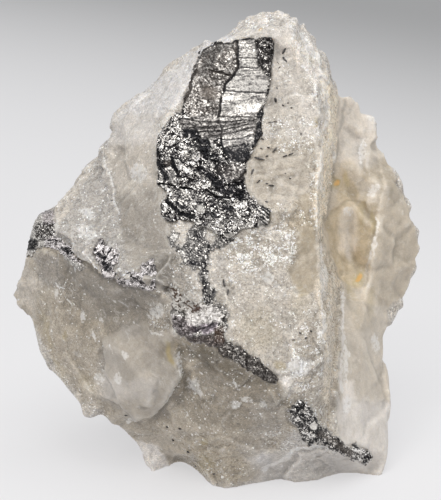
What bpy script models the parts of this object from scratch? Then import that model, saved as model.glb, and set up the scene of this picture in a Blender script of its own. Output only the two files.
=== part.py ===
"""Wolframite crystals grown on a block of milky vein quartz: one loose hand specimen, 80 mm tall.

Lengths are written in millimetres and turned into metres by MM. X is to the right, Y to the back and Z up,
with the front of the specimen at negative Y.
"""
import math

import bmesh
import bpy
from mathutils import Vector, noise
from mathutils.bvhtree import BVHTree
from mathutils.geometry import delaunay_2d_cdt, intersect_point_line

MM = 0.001

# Quartz: the outline seen from the front, clockwise from the peak, closed below the floor that cuts it off
OUTLINE = [
    (5, 4, 79.5), (8.5, 6, 79.5), (12, 8, 79.5), (14.5, 8, 77.5), (17, 8, 73), (19.5, 9, 70.5),
    (20, 9, 67.5), (21, 12, 64.5), (26, 15, 62), (29.5, 15, 60.5), (29.5, 15, 58), (28, 14, 56),
    (31.5, 16, 52.5), (35, 17, 48), (38, 17, 40.5), (39.5, 15, 34), (37.5, 13, 30), (32.5, 10, 25),
    (30, 5, 22), (29.5, 1, 15.5), (29.5, -4, 8), (29.5, -7, 3.5), (28, -8.5, -1), (26, 1, -7),
    (16, 4, -7), (6, 4, -7), (-4, 4, -7), (-9, 1, -7), (-12, -6, -1), (-14, -6, 3.5), (-16, -7, 7.5),
    (-19, -8, 11), (-23.5, -9, 12), (-25, -9, 14.5), (-29.5, -6, 18.5), (-31.5, -5, 22), (-33, -2, 27),
    (-35, 0, 28), (-37, 2, 30), (-35.5, 1, 32), (-34, -1.5, 36), (-33, -2, 39), (-32, -1.5, 42.5),
    (-31, 0, 45), (-26.5, 3, 49), (-23, 5, 53.5), (-19, 6, 57.5), (-19, 8, 61), (-13.5, 8, 65.5),
    (-9.5, 7, 69), (-6.5, 6, 71), (-2, 3, 74.5), (1.5, 5, 76.5),
]

# Edges and folds of the front, each a chain of corners that the surface keeps
CROWN_LIP = [
    (-2, 3, 74.5), (3.5, -1, 76), (9, -2, 76.5), (12, -1, 76), (14, 0, 73.5),
]
LEFT_SHOULDER = [
    (-2, 3, 74.5), (-6, -2, 68.5), (-9.5, -5, 63), (-10.5, -9, 57), (-10, -13, 50), (-8, -17, 43),
    (-7, -21, 36),
]
BRIGHT_FACET_FOOT = [
    (-19, 6, 57.5), (-15, 0, 59.5), (-10.5, -7, 60),
]
RIGHT_EDGE = [
    (14, 0, 73.5), (16.5, 0, 69), (16.5, -3, 64), (16.5, -7, 58), (16.5, -11, 50.5), (16.5, -14, 41.5),
    (17, -17, 32.5), (17, -19, 27.5), (16, -20, 21), (14, -20.5, 14),
]
CREVICE = [
    (21, 12, 64.5), (21, 12, 60.5), (21, 11, 56.5), (20, 10, 53.5), (19, 9, 49.5), (18.5, 7, 45),
    (18.5, 6, 42), (20, 5, 35.5), (22, 4, 32.5), (22, 2, 30.5), (21.5, -1, 28), (21, -5, 24),
    (21, -9, 19), (20.5, -12, 15), (20.5, -14.5, 10.5), (21, -16.5, 7),
]
REAR_RIDGE = [
    (27, 14, 55.5), (26.5, 11, 53), (27, 9, 50), (28.5, 8, 48.5), (28, 7, 44), (27.5, 6, 40),
    (26.5, 5, 36), (27.5, 5, 33.5), (26, 3, 30.5),
]
SLAB_FOLD = [
    (26, 3, 30.5), (25, -2, 25), (25, -5, 18.5), (25, -9, 12.5), (24.5, -12, 7.5), (24.5, -10, 2.5),
]
LIP = [
    (-32, -1.5, 42.5), (-29, -6, 41), (-25, -10, 41), (-22, -13, 39.5), (-19, -16, 38.5),
    (-15.5, -18, 38), (-12.5, -20, 38), (-10, -21, 37), (-8, -22, 35.5), (-7, -22.5, 32),
    (-4, -23, 29.5), (0, -23.5, 27.5), (4.5, -23, 25), (9, -22.5, 22.5), (12, -21.5, 18.5),
    (14, -20.5, 14), (17.5, -19, 10.5), (21, -16.5, 7), (24.5, -10, 2.5),
]
LOBE_EDGE = [
    (-7, -20.5, 27.5), (-6.5, -20, 23.5), (-8, -18.5, 18.5), (-10.5, -16.5, 16), (-14, -14, 13.5),
]
LOBE_FOOT = [
    (-5.5, -17.5, 22), (-6.5, -16, 17.5), (-9.5, -14, 14), (-13.5, -11, 11),
]
BASE_FRONT = [
    (-8.5, -3, 0), (-7.5, 0, 0), (-5, -5, 0), (-1.5, -12.5, 0), (1.5, -14, 0), (5.5, -12, 0),
    (10.5, -9.5, 0), (13, -11, 0), (16.5, -10, 0), (21.5, -7, 0), (26, -7.5, 0),
]
FRONT_CHAINS = [
    CROWN_LIP, LEFT_SHOULDER, BRIGHT_FACET_FOOT, RIGHT_EDGE, CREVICE, REAR_RIDGE, SLAB_FOLD, LIP, LOBE_EDGE,
    LOBE_FOOT, BASE_FRONT,
]

# Single corners of the front between those edges
REAR_HOLLOW = [
    (23.5, 9, 52), (23.5, 9, 46), (23, 9, 39.5), (23.5, 7.5, 35),
]
LEFT_FACE = [
    (-24, -4, 46), (-17, -8, 46), (-13, -14, 43), (-16, -3, 53),
]
LOWER_FACE = [
    (-30, -6, 32), (-27.5, -8, 27.5), (-25, -9.5, 21.5), (-22.5, -11.5, 35), (-19, -13, 31),
    (-14, -15, 32.5), (-20.5, -11, 16), (0.5, -21, 18.5), (0, -18.5, 10.5), (6.5, -19.5, 14.5),
    (7.5, -15.5, 7), (13.5, -16, 8), (19, -12, 4), (-4.5, -16.5, 11.5), (-3.5, -14, 6), (-11, -7, 4),
]
LOBE = [
    (-15, -18.5, 23.5), (-18.5, -16, 26), (-12, -18.5, 20), (-12, -18.5, 27), (-17, -14.5, 16.5),
]
BELOW_FLOOR = [
    (-6, 2, -4), (-1, -8, -4), (2, -10, -4), (10, -6, -4), (18, -6, -4), (24, -3, -4),
]
FRONT_CORNERS = REAR_HOLLOW + LEFT_FACE + LOWER_FACE + LOBE + BELOW_FLOOR

# Back of the block: the outline drawn in towards a centre in rings (share of outline, share of depth)
BACK_CENTRE = (2, 34)
BACK_DEPTH = 27
BACK_RINGS = [
    (1.01, 0.07), (0.96, 0.38), (0.86, 0.68), (0.68, 0.9), (0.36, 1.0),
]
# Broken faces across the back, each a point on it and the direction it faces
BACK_BREAKS = [
    ((0, 23.5, 35), (0.08, 1.0, 0.06)),
    ((4, 15, 66), (0.15, 0.8, 0.6)),
    ((-22, 13, 45), (-0.65, 0.75, 0.2)),
    ((24, 20, 40), (0.6, 0.8, 0.1)),
    ((22, 14, 10), (0.5, 0.8, -0.3)),
    ((-14, 12, 12), (-0.55, 0.6, -0.55)),
]

# Roughness of the broken surface: broad waves, then chips (size, slope) that tilt and end in ledges.
# The back is rougher than the front by a factor, which comes in where the surface turns away.
WAVE_LENGTH = 15
WAVE_HEIGHT = 0.6
CHIPS = [(11, 0.12), (5, 0.1)]
CHIP_TILT_SEED = 7.31
BACK_ROUGHER = 2.2
BACK_STARTS = -0.6
VOXEL = 0.75
QUARTZ_TRIANGLES = 5400

# The crystals' outlines are drawn on a tilted sheet through the block and thrown on the stone from one point
SHEET_HEIGHT = 39
SHEET_TILT = 14
THROW = 291.67
# Clearance round a crystal in its pocket, under it, and how far the pocket's cutter stands out of the stone
GAP = 0.3
FLOOR_GAP = 0.4
POCKET_REACH = 4.0
# Grid of corners over a crystal: clearance to the outline and row distance, as shares of the spacing
BORDER_CLEARANCE = 0.45
ROW_SPACING = 0.87
# How far a sharp corner may be stretched when an outline is grown, as the least share of its width
MITRE = 0.6
# The top of a crystal is rough in two grain sizes (waves per millimetre, share, layer), and lower at its rim
GRAINS = [(0.55, 1.0, 3.7), (1.3, 0.6, 9.1)]
RIM_SHARE = 0.6

# Outlines on the sheet, clockwise
BLADE_OUTLINE = [
    (7.3, 36.8), (9.5, 36.6), (9.3, 32.5), (8.8, 28.5), (7.3, 24.2), (6.9, 21), (5.6, 18.4), (4.5, 15),
    (4.6, 11.7), (6.3, 9), (8.8, 6.6), (8.8, 4.6), (6, 4.4), (3.2, 3.2), (2.2, 1.3), (0.2, 2.4),
    (-3, 3.6), (-7.6, 5.5), (-10, 6.1), (-10.5, 8.3), (-9.6, 10.4), (-11, 13.4), (-11, 19),
    (-10.2, 21.2), (-7.8, 24), (-6.6, 26.5), (-5.3, 30), (-3.5, 33.5), (-3, 35), (0.2, 36.4),
    (4.3, 36.8),
]
STRINGER_OUTLINE = [
    (-8.6, 5.4), (-5, 4), (-2.6, 3), (0.1, 1.9), (2.1, 0.8), (3.2, -0.6), (2, -2.4), (-0.4, -3.4),
    (-1, -7.4), (-0.8, -9.3), (-2.6, -9.7), (-3.7, -6.6), (-4.8, -4.4), (-7, -2.2), (-7.2, 0.2),
    (-8.8, 1.9),
]
KNOT_OUTLINE = [
    (-9.3, -6.2), (-8, -6.8), (-6.6, -8.4), (-3, -10.2), (-0.2, -9.6), (1.2, -11.2), (1.2, -13.6),
    (-0.4, -14.6), (-2.6, -15.8), (-5, -15.6), (-7.4, -13.6), (-8.9, -11), (-9.6, -8.4),
]
RIDGE_BAR_OUTLINE = [
    (-0.5, -15), (1.2, -15.8), (3.4, -16.7), (5.2, -18), (7.9, -20), (9.8, -21.6), (9.5, -22.9),
    (7.9, -22.9), (6.6, -21.8), (4.5, -20.4), (2.6, -19), (0.4, -18.8), (-0.7, -17.3),
]
CORNER_VEIN_OUTLINE = [
    (13.6, -25.9), (16.2, -27.2), (17.2, -28.8), (18.6, -31.8), (22, -33.7), (23.8, -33.7),
    (26.4, -35.4), (26.3, -36.8), (24.6, -37.4), (22, -35.8), (19.2, -34.4), (17.3, -33.4),
    (15.2, -33.8), (13.8, -31.7), (11.4, -30), (11.4, -28), (12.5, -26.7),
]
LEFT_CLUSTER_OUTLINE = [
    (-21.4, 1.4), (-19.6, 1), (-18.2, -0.4), (-18.4, -2.4), (-19.4, -4.4), (-20.8, -3.4), (-21.8, -1),
]
CENTRE_SEAM_OUTLINE = [
    (-18, -5.2), (-16, -3.4), (-13.4, -2.6), (-12, -2.2), (-11.6, -4.2), (-12.6, -6.2), (-15, -6),
    (-17.6, -6.2),
]
# Each group: name, outline, height above the stone, roughness of its top, depth in the stone, corner spacing
CRYSTALS = [
    ("wolframite_blade", BLADE_OUTLINE, 1.0, 0.5, 2.6, 1.15),
    ("wolframite_stringer", STRINGER_OUTLINE, 0.55, 0.4, 1.8, 1.4),
    ("wolframite_knot", KNOT_OUTLINE, 0.9, 0.7, 2.0, 1.4),
    ("wolframite_ridge_bar", RIDGE_BAR_OUTLINE, 0.7, 0.4, 2.0, 1.3),
    ("wolframite_corner_vein", CORNER_VEIN_OUTLINE, 0.7, 0.5, 2.0, 1.5),
    ("wolframite_left_cluster", LEFT_CLUSTER_OUTLINE, 0.8, 0.6, 1.8, 1.2),
    ("wolframite_centre_seam", CENTRE_SEAM_OUTLINE, 0.5, 0.4, 1.6, 1.4),
]

# The vein on the left runs round the edge, so its outline is thrown from the left instead
LEFT_VEIN_TURN = -40
LEFT_VEIN_OUTLINE = [
    (-30, -4.5), (-29.5, -1), (-27.5, 1.8), (-25.2, 3), (-23.3, 2.4), (-21.9, 0.6), (-20.9, -1),
    (-19.5, -1.9), (-17.8, -2), (-15.6, -3.2), (-12.7, -4.6), (-14.2, -5.9), (-16.8, -5.6),
    (-18.2, -4.8), (-20.4, -4.3), (-22.3, -4.2), (-24, -5), (-25.4, -6.6), (-28, -7),
]
LEFT_VEIN = ("wolframite_left_vein", LEFT_VEIN_OUTLINE, 0.6, 0.4, 1.8, 1.6)

# Relief of the blade's cleavage panel: it lies lower and flatter than the grains round it
PANEL_EDGE = [
    (3.2, 36), (3.1, 30.6), (0.4, 28.8), (0, 17.5),
]
PANEL_SINK = 0.45
PANEL_ROUGHNESS = 0.3

# Finishes: name, colour, roughness, metallic
MILKY_QUARTZ = ("milky_quartz", (0.72, 0.68, 0.63), 0.35, 0.0)
WOLFRAMITE = ("wolframite", (0.16, 0.155, 0.15), 0.3, 0.85)


def clear_scene():
    for thing in list(bpy.data.objects):
        bpy.data.objects.remove(thing, do_unlink=True)


def make_material(name, colour, roughness, metallic):
    material = bpy.data.materials.new(name)
    material.use_nodes = True
    shader = material.node_tree.nodes["Principled BSDF"]
    shader.inputs["Base Color"].default_value = (*colour, 1.0)
    shader.inputs["Roughness"].default_value = roughness
    shader.inputs["Metallic"].default_value = metallic
    return material


def make_object(name, shape, material=None):
    mesh = bpy.data.meshes.new(name)
    shape.to_mesh(mesh)
    shape.free()
    thing = bpy.data.objects.new(name, mesh)
    bpy.context.scene.collection.objects.link(thing)
    if material:
        mesh.materials.append(material)
    return thing


def inside(point, outline):
    """Whether a flat point is inside a closed outline, by counting the sides to its right."""
    x, y = point
    odd = False
    for (ax, ay), (bx, by) in zip(outline, outline[1:] + outline[:1]):
        if (ay > y) != (by > y) and x < ax + (y - ay) * (bx - ax) / (by - ay):
            odd = not odd
    return odd


def triangulate_flat(flat_points, edges, outline):
    """Triangles over flat points, inside the outline and with the edges kept, as triples of indices."""
    result = delaunay_2d_cdt([Vector(p) for p in flat_points], edges, [], 0, 1e-6, True)
    triangles = []
    for face in result[2]:
        triangle = [result[3][i][0] for i in face]
        middle = sum((Vector(flat_points[i]) for i in triangle), Vector((0, 0))) / 3
        if inside(middle, outline):
            triangles.append(triangle)
    return triangles


def chain_edges(indices, closed=False):
    pairs = list(zip(indices, indices[1:]))
    if closed:
        pairs.append((indices[-1], indices[0]))
    return pairs


def front_sheet(shape, border):
    """The front of the block, hung on the outline and on the chains of corners."""
    corners = list(OUTLINE)
    edges = chain_edges(list(range(len(OUTLINE))), closed=True)
    for chain in FRONT_CHAINS:
        indices = []
        for corner in chain:
            if corner not in corners:
                corners.append(corner)
            indices.append(corners.index(corner))
        edges += chain_edges(indices)
    corners += FRONT_CORNERS
    vertices = border + [shape.verts.new(Vector(c) * MM) for c in corners[len(OUTLINE):]]
    flat = [(c[0], c[2]) for c in corners]
    for face in triangulate_flat(flat, edges, flat[:len(OUTLINE)]):
        shape.faces.new([vertices[i] for i in face])


def back_sheet(shape, border):
    """The back of the block: rings of the outline, drawn in as they go back, closed by a fan."""
    middle_x, middle_z = BACK_CENTRE
    ring = border
    for share, depth in BACK_RINGS:
        inner = []
        for x, y, z in OUTLINE:
            place = Vector((middle_x + (x - middle_x) * share, y + (BACK_DEPTH - y) * depth,
                            middle_z + (z - middle_z) * share))
            inner.append(shape.verts.new(place * MM))
        for i in range(len(ring)):
            j = (i + 1) % len(ring)
            shape.faces.new((ring[i], ring[j], inner[j], inner[i]))
        ring = inner
    tip = shape.verts.new(Vector((middle_x, BACK_DEPTH, middle_z)) * MM)
    for i in range(len(ring)):
        shape.faces.new((ring[i], ring[(i + 1) % len(ring)], tip))


def slice_off(shape, point, facing):
    """Removes what lies beyond a flat break and closes the shape there."""
    whole = shape.verts[:] + shape.edges[:] + shape.faces[:]
    cut = bmesh.ops.bisect_plane(shape, geom=whole, plane_co=point, plane_no=facing, clear_outer=True)
    rim = [e for e in cut["geom_cut"] if isinstance(e, bmesh.types.BMEdge)]
    closing = bmesh.ops.holes_fill(shape, edges=rim, sides=0)
    bmesh.ops.triangulate(shape, faces=closing["faces"])


def block_of_facets():
    shape = bmesh.new()
    border = [shape.verts.new(Vector(c) * MM) for c in OUTLINE]
    front_sheet(shape, border)
    back_sheet(shape, border)
    bmesh.ops.recalc_face_normals(shape, faces=shape.faces[:])
    for point, facing in BACK_BREAKS:
        slice_off(shape, Vector(point) * MM, Vector(facing).normalized())
    return shape


def read_with_modifiers(thing):
    depsgraph = bpy.context.evaluated_depsgraph_get()
    shape = bmesh.new()
    shape.from_object(thing, depsgraph)
    return shape


def chip_height(place, size):
    """Height of the chipped surface at a place: each chip is a small plane with a tilt of its own."""
    centre = noise.voronoi(place / size)[1][0]
    tilt = noise.cell_vector(centre * CHIP_TILT_SEED) - Vector((0.5, 0.5, 0.5))
    return (place / size - centre).dot(tilt) * size


def roughen(shape):
    shape.normal_update()
    heights = []
    for vertex in shape.verts:
        place = vertex.co / MM
        turned_back = min(1, max(0, vertex.normal.y - BACK_STARTS))
        chipped = 1 + (BACK_ROUGHER - 1) * turned_back
        height = noise.noise(place / WAVE_LENGTH) * WAVE_HEIGHT
        for size, slope in CHIPS:
            height += chip_height(place, size) * slope * chipped
        heights.append(height)
    for vertex, height in zip(shape.verts, heights):
        vertex.co += vertex.normal * height * MM


def make_quartz(material):
    """One block of vein quartz: broken facets, waved and chipped, and cut flat where it stands."""
    draft = make_object("quartz_draft", block_of_facets())
    grid = draft.modifiers.new("even grid", "REMESH")
    grid.mode = "VOXEL"
    grid.voxel_size = VOXEL * MM
    shape = read_with_modifiers(draft)
    bpy.data.objects.remove(draft, do_unlink=True)
    roughen(shape)
    draft = make_object("quartz_draft", shape)
    thin = draft.modifiers.new("fewer faces", "DECIMATE")
    thin.ratio = QUARTZ_TRIANGLES / (2 * len(draft.data.polygons))
    shape = read_with_modifiers(draft)
    bpy.data.objects.remove(draft, do_unlink=True)
    bmesh.ops.triangulate(shape, faces=shape.faces[:])
    slice_off(shape, Vector((0, 0, 0)), Vector((0, 0, -1)))
    return make_object("quartz_matrix", shape, material)


def throw_frame(turn):
    """Point that outlines are thrown from, and the sheet's middle, right and up directions."""
    tilt = math.radians(SHEET_TILT)
    around = math.radians(turn)
    right = Vector((math.cos(around), math.sin(around), 0))
    level = Vector((-math.sin(around), math.cos(around), 0))
    ahead = level * math.cos(tilt) - Vector((0, 0, 1)) * math.sin(tilt)
    up = right.cross(ahead)
    middle = Vector((0, 0, SHEET_HEIGHT))
    return (middle - ahead * THROW) * MM, middle * MM, right, up


def edge_distance(point, outline):
    shortest = math.inf
    for a, b in zip(outline, outline[1:] + outline[:1]):
        near, share = intersect_point_line(Vector((*point, 0)), Vector((*a, 0)), Vector((*b, 0)))
        near = Vector((*a, 0)).lerp(Vector((*b, 0)), min(1, max(0, share)))
        shortest = min(shortest, (near - Vector((*point, 0))).length)
    return shortest


def grown(outline, width):
    """The outline, which runs clockwise, moved outwards by a width."""
    result = []
    count = len(outline)
    for i, point in enumerate(outline):
        before = (Vector(point) - Vector(outline[i - 1])).normalized()
        after = (Vector(outline[(i + 1) % count]) - Vector(point)).normalized()
        side = (Vector((-before.y, before.x)) + Vector((-after.y, after.x))).normalized()
        stretch = max(MITRE, side.dot(Vector((-after.y, after.x))))
        result.append(tuple(Vector(point) + side * width / stretch))
    return result


def inner_points(outline, spacing):
    """A staggered grid of points inside an outline, clear of its border."""
    points = []
    row = 0
    low_x, high_x = min(p[0] for p in outline), max(p[0] for p in outline)
    low_y, high_y = min(p[1] for p in outline), max(p[1] for p in outline)
    y = low_y
    while y < high_y:
        x = low_x + spacing / 2 * (row % 2)
        while x < high_x:
            if inside((x, y), outline) and edge_distance((x, y), outline) > spacing * BORDER_CLEARANCE:
                points.append((x, y))
            x += spacing
        y += spacing * ROW_SPACING
        row += 1
    return points


def throwing_rays(flat_points, turn):
    """The point that flat points are thrown from, and the direction towards each."""
    source, middle, right, up = throw_frame(turn)
    return source, [(middle + (right * a + up * b) * MM - source).normalized() for a, b in flat_points]


def landing_distances(flat_points, tree, turn):
    """How far each flat point flies to the stone; one that misses takes the distance of the one before it."""
    source, rays = throwing_rays(flat_points, turn)
    distances = [tree.ray_cast(source, ray)[3] for ray in rays]
    last = next(d for d in distances if d)
    for i, distance in enumerate(distances):
        last = distance or last
        distances[i] = last
    return distances


def draped_slab(flat_points, border_count, triangles, turn, tops, undersides):
    """A closed slab between two distances from the throwing point, with a wall along its border."""
    source, rays = throwing_rays(flat_points, turn)
    shape = bmesh.new()
    top = [shape.verts.new(source + ray * distance) for ray, distance in zip(rays, tops)]
    under = [shape.verts.new(source + ray * distance) for ray, distance in zip(rays, undersides)]
    for face in triangles:
        shape.faces.new([top[i] for i in face])
        shape.faces.new([under[i] for i in reversed(face)])
    for i, j in chain_edges(list(range(border_count)), closed=True):
        shape.faces.new((top[i], top[j], under[j], under[i]))
    bmesh.ops.triangulate(shape, faces=[f for f in shape.faces if len(f.verts) > 3])
    bmesh.ops.recalc_face_normals(shape, faces=shape.faces[:])
    return shape


def panel_depth(point):
    """How far the blade's smooth cleavage panel lies below the grains beside it, at a point."""
    a, b = point
    edge = PANEL_EDGE[-1][0]
    for (a0, b0), (a1, b1) in zip(PANEL_EDGE, PANEL_EDGE[1:]):
        if b1 <= b <= b0:
            edge = a0 + (a1 - a0) * (b0 - b) / (b0 - b1)
    on_panel = a > edge and PANEL_EDGE[-1][1] < b
    return PANEL_SINK if on_panel else 0


def crystal_heights(name, outline, inner, height, roughness):
    """Heights of the corners of a crystal's top above the stone, border first."""
    heights = [height * RIM_SHARE] * len(outline)
    for point in inner:
        grain = sum(noise.noise(Vector((*point, layer)) * waves) * share for waves, share, layer in GRAINS)
        sink = panel_depth(point) if name == "wolframite_blade" else 0
        smooth = PANEL_ROUGHNESS if sink else 1
        heights.append(height + grain * roughness * smooth - sink)
    return heights


def make_crystal(crystal, turn, tree, quartz, material):
    """One crystal group and the pocket that it fills in the quartz."""
    name, outline, height, roughness, depth, spacing = crystal
    inner = inner_points(outline, spacing)
    count = len(outline)
    triangles = triangulate_flat(outline + inner, chain_edges(list(range(count)), closed=True), outline)
    stone = landing_distances(outline + inner, tree, turn)
    heights = crystal_heights(name, outline, inner, height, roughness)
    tops = [distance - h * MM for distance, h in zip(stone, heights)]
    undersides = [distance + depth * MM for distance in stone]
    make_object(name, draped_slab(outline + inner, count, triangles, turn, tops, undersides), material)

    around = list(range(count))
    widened = grown(outline, GAP) + outline + inner
    triangles = [[i + count for i in triangle] for triangle in triangles]
    for i, j in chain_edges(around, closed=True):
        triangles += [[i, j, j + count], [i, j + count, i + count]]
    tops = [distance - POCKET_REACH * MM for distance in stone[:count] + stone]
    floors = [distance + FLOOR_GAP * MM for distance in undersides[:count] + undersides]
    pocket = make_object(name + "_pocket", draped_slab(widened, count, triangles, turn, tops, floors))
    pocket.hide_render = True
    pocket.display_type = "WIRE"
    cut = quartz.modifiers.new(name + " pocket", "BOOLEAN")
    cut.operation = "DIFFERENCE"
    cut.solver = "EXACT"
    cut.object = pocket


def stand_on_centre():
    """Moves everything so that the specimen's box is centred over the origin."""
    bpy.context.view_layer.update()
    corners = []
    for thing in bpy.data.objects:
        if not thing.hide_render:
            shape = read_with_modifiers(thing)
            corners += [v.co.copy() for v in shape.verts]
            shape.free()
    centre = bpy.data.objects.new("specimen_centre", None)
    bpy.context.scene.collection.objects.link(centre)
    middle = [(min(c[i] for c in corners) + max(c[i] for c in corners)) / 2 for i in range(2)]
    centre.location = (-middle[0], -middle[1], 0)
    for thing in bpy.data.objects:
        if thing is not centre:
            thing.parent = centre


def build():
    clear_scene()
    quartz_finish = make_material(*MILKY_QUARTZ)
    crystal_finish = make_material(*WOLFRAMITE)
    quartz = make_quartz(quartz_finish)
    bpy.context.view_layer.update()
    surface = bmesh.new()
    surface.from_mesh(quartz.data)
    tree = BVHTree.FromBMesh(surface)
    surface.free()
    for crystal in CRYSTALS:
        make_crystal(crystal, 0, tree, quartz, crystal_finish)
    make_crystal(LEFT_VEIN, LEFT_VEIN_TURN, tree, quartz, crystal_finish)
    stand_on_centre()


build()
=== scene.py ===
"""The looks of a wolframite on quartz hand specimen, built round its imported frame.

Lengths with MM are in metres, and others in millimetres, or in pixels where they lie on a drawing sheet.
X is to the right, Y to the back and Z up, as in the frame.
"""

import itertools
import math

import bmesh
import bpy
import numpy as np
from mathutils import Matrix, Vector
from mathutils.bvhtree import BVHTree


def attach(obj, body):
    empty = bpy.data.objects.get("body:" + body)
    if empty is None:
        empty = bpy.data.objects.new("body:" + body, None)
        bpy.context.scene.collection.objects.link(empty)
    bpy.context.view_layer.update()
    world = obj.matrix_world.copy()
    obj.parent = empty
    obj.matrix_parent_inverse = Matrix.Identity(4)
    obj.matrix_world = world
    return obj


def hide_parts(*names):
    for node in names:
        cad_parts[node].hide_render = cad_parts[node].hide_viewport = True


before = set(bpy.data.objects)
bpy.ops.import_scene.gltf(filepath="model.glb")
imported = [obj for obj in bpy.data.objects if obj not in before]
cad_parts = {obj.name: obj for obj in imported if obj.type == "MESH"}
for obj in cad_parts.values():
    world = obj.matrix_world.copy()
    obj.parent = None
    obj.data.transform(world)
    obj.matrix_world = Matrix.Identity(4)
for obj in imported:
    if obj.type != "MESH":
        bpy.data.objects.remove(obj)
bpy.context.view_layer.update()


# View, table and light
# The specimen stands on a pale table in soft light, and is seen through a long lens from the front and a
# little above. A large soft lamp hangs before it and above, so that the crystals' bright faces mirror it.
MM = 0.001
LENS = 120
SENSOR = 36
EYE_DISTANCE = 291.67 * MM
EYE_TILT = math.radians(14)
AIM = Vector((0.406, -0.936, 39)) * MM
NEAREST_SEEN = 10 * MM

scene = bpy.context.scene
scene.view_settings.view_transform = "Standard"
eye = bpy.data.objects.new("eye", bpy.data.cameras.new("eye"))
scene.collection.objects.link(eye)
eye.data.lens = LENS
eye.data.sensor_width = SENSOR
eye.data.clip_start = NEAREST_SEEN
towards_eye = Vector((0, -math.cos(EYE_TILT), math.sin(EYE_TILT)))
eye.location = AIM + towards_eye * EYE_DISTANCE
eye.rotation_euler = (-towards_eye).to_track_quat("-Z", "Y").to_euler()
scene.camera = eye


def place(tree, kind, inputs=None, **settings):
    """A node of a tree with its settings, and with its inputs joined to sockets or set to values."""
    node = tree.nodes.new(kind)
    for name, value in settings.items():
        setattr(node, name, value)
    for key, value in (inputs or {}).items():
        if isinstance(value, bpy.types.NodeSocket):
            tree.links.new(value, node.inputs[key])
        else:
            node.inputs[key].default_value = value
    return node


def calc(tree, operation, *values):
    """The result of a Math node."""
    return place(tree, "ShaderNodeMath", dict(enumerate(values)), operation=operation).outputs[0]


def vector_calc(tree, operation, first, second=None):
    """The result of a Vector Math node; the second value is left out where it takes one."""
    values = {0: first}
    if second is not None:
        values["Scale" if operation == "SCALE" else 1] = second
    node = place(tree, "ShaderNodeVectorMath", values, operation=operation)
    return node.outputs["Value" if operation in ("LENGTH", "DOT_PRODUCT") else "Vector"]


def mixed(tree, share, first, second):
    """A colour mixed from two by a share."""
    first, second = [(*colour, 1.0) if isinstance(colour, tuple) else colour for colour in (first, second)]
    return place(tree, "ShaderNodeMix", {0: share, 6: first, 7: second}, data_type="RGBA").outputs[2]


def ranged(tree, value, low, high, to_low=0.0, to_high=1.0):
    """A value taken from one range to another, held at its ends and eased between them."""
    node = place(tree, "ShaderNodeMapRange", {0: value, 1: low, 2: high, 3: to_low, 4: to_high})
    node.interpolation_type = "SMOOTHSTEP"
    return node.outputs[0]


def new_material(name):
    """An empty material: its tree and its Principled shader."""
    material = bpy.data.materials.new(name)
    material.use_nodes = True
    return material, material.node_tree, material.node_tree.nodes["Principled BSDF"]


def set_inputs(shader, values):
    """Sets a shader's own sockets."""
    for label, value in values.items():
        shader.inputs[label].default_value = value


# The table is painted darker farther away and to the right, a painted falloff of light, and it glows in the
# same colour: painted light that lightens the shadows on it and the specimen's lower faces.
TABLE_RADIUS = 3.0
TABLE_SIDES = 96
TABLE_ROUGHNESS = 0.8
TABLE_NEAR = (0.230, 0.2285, 0.2315)
TABLE_FAR = (0.109, 0.109, 0.110)
TABLE_LIGHT_FALLOFF = (0.12, 1.0)
TABLE_FALLOFF_LEAN = 1.5
TABLE_GLOW = 0.536
table_shape = bmesh.new()
bmesh.ops.create_circle(table_shape, cap_ends=True, segments=TABLE_SIDES, radius=TABLE_RADIUS)
table_mesh = bpy.data.meshes.new("table")
table_shape.to_mesh(table_mesh)
table_shape.free()
table = bpy.data.objects.new("table", table_mesh)
scene.collection.objects.link(table)
material, tree, shader = new_material("table")
where = place(tree, "ShaderNodeTexCoord").outputs["Object"]
away = vector_calc(tree, "LENGTH", where)
to_right = place(tree, "ShaderNodeSeparateXYZ", {0: where}).outputs["X"]
away = calc(tree, "ADD", away, calc(tree, "MULTIPLY", to_right, TABLE_FALLOFF_LEAN))
light_falloff = ranged(tree, away, *TABLE_LIGHT_FALLOFF)
table_colour = mixed(tree, light_falloff, TABLE_NEAR, TABLE_FAR)
tree.links.new(table_colour, shader.inputs["Base Color"])
tree.links.new(table_colour, shader.inputs["Emission Color"])
set_inputs(shader, {"Emission Strength": TABLE_GLOW / TABLE_NEAR[0], "Roughness": TABLE_ROUGHNESS})
table_mesh.materials.append(material)

SKY_COLOUR = (0.96, 0.98, 1.0, 1.0)
SKY_STRENGTH = 0.47
sky = bpy.data.worlds.new("soft light")
sky.use_nodes = True
scene.world = sky
set_inputs(sky.node_tree.nodes["Background"], {"Color": SKY_COLOUR, "Strength": SKY_STRENGTH})


def hang_lamp(name, turn, height, distance, size, power, colour):
    """A square soft lamp that faces the specimen from a turn round it and a height above it, in degrees."""
    lamp = bpy.data.objects.new(name, bpy.data.lights.new(name, "AREA"))
    scene.collection.objects.link(lamp)
    turn, height = math.radians(turn), math.radians(height)
    level = math.cos(height)
    outwards = Vector((math.sin(turn) * level, -math.cos(turn) * level, math.sin(height)))
    lamp.location = AIM + outwards * distance
    lamp.rotation_euler = (-outwards).to_track_quat("-Z", "Y").to_euler()
    lamp.data.size = size
    lamp.data.energy = power
    lamp.data.color = colour


hang_lamp("front lamp", turn=-16, height=46, distance=0.7, size=0.5, power=2.9, colour=(1.0, 0.985, 0.96))
hang_lamp("top lamp", turn=30, height=76, distance=0.8, size=0.7, power=3.0, colour=(0.98, 0.99, 1.0))
hang_lamp("spark lamp", turn=-30, height=40, distance=0.8, size=0.14, power=0.7, colour=(1.0, 0.99, 0.97))
hang_lamp("side lamp", turn=72, height=28, distance=0.8, size=0.5, power=0.8, colour=(1.0, 0.98, 0.95))


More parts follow.
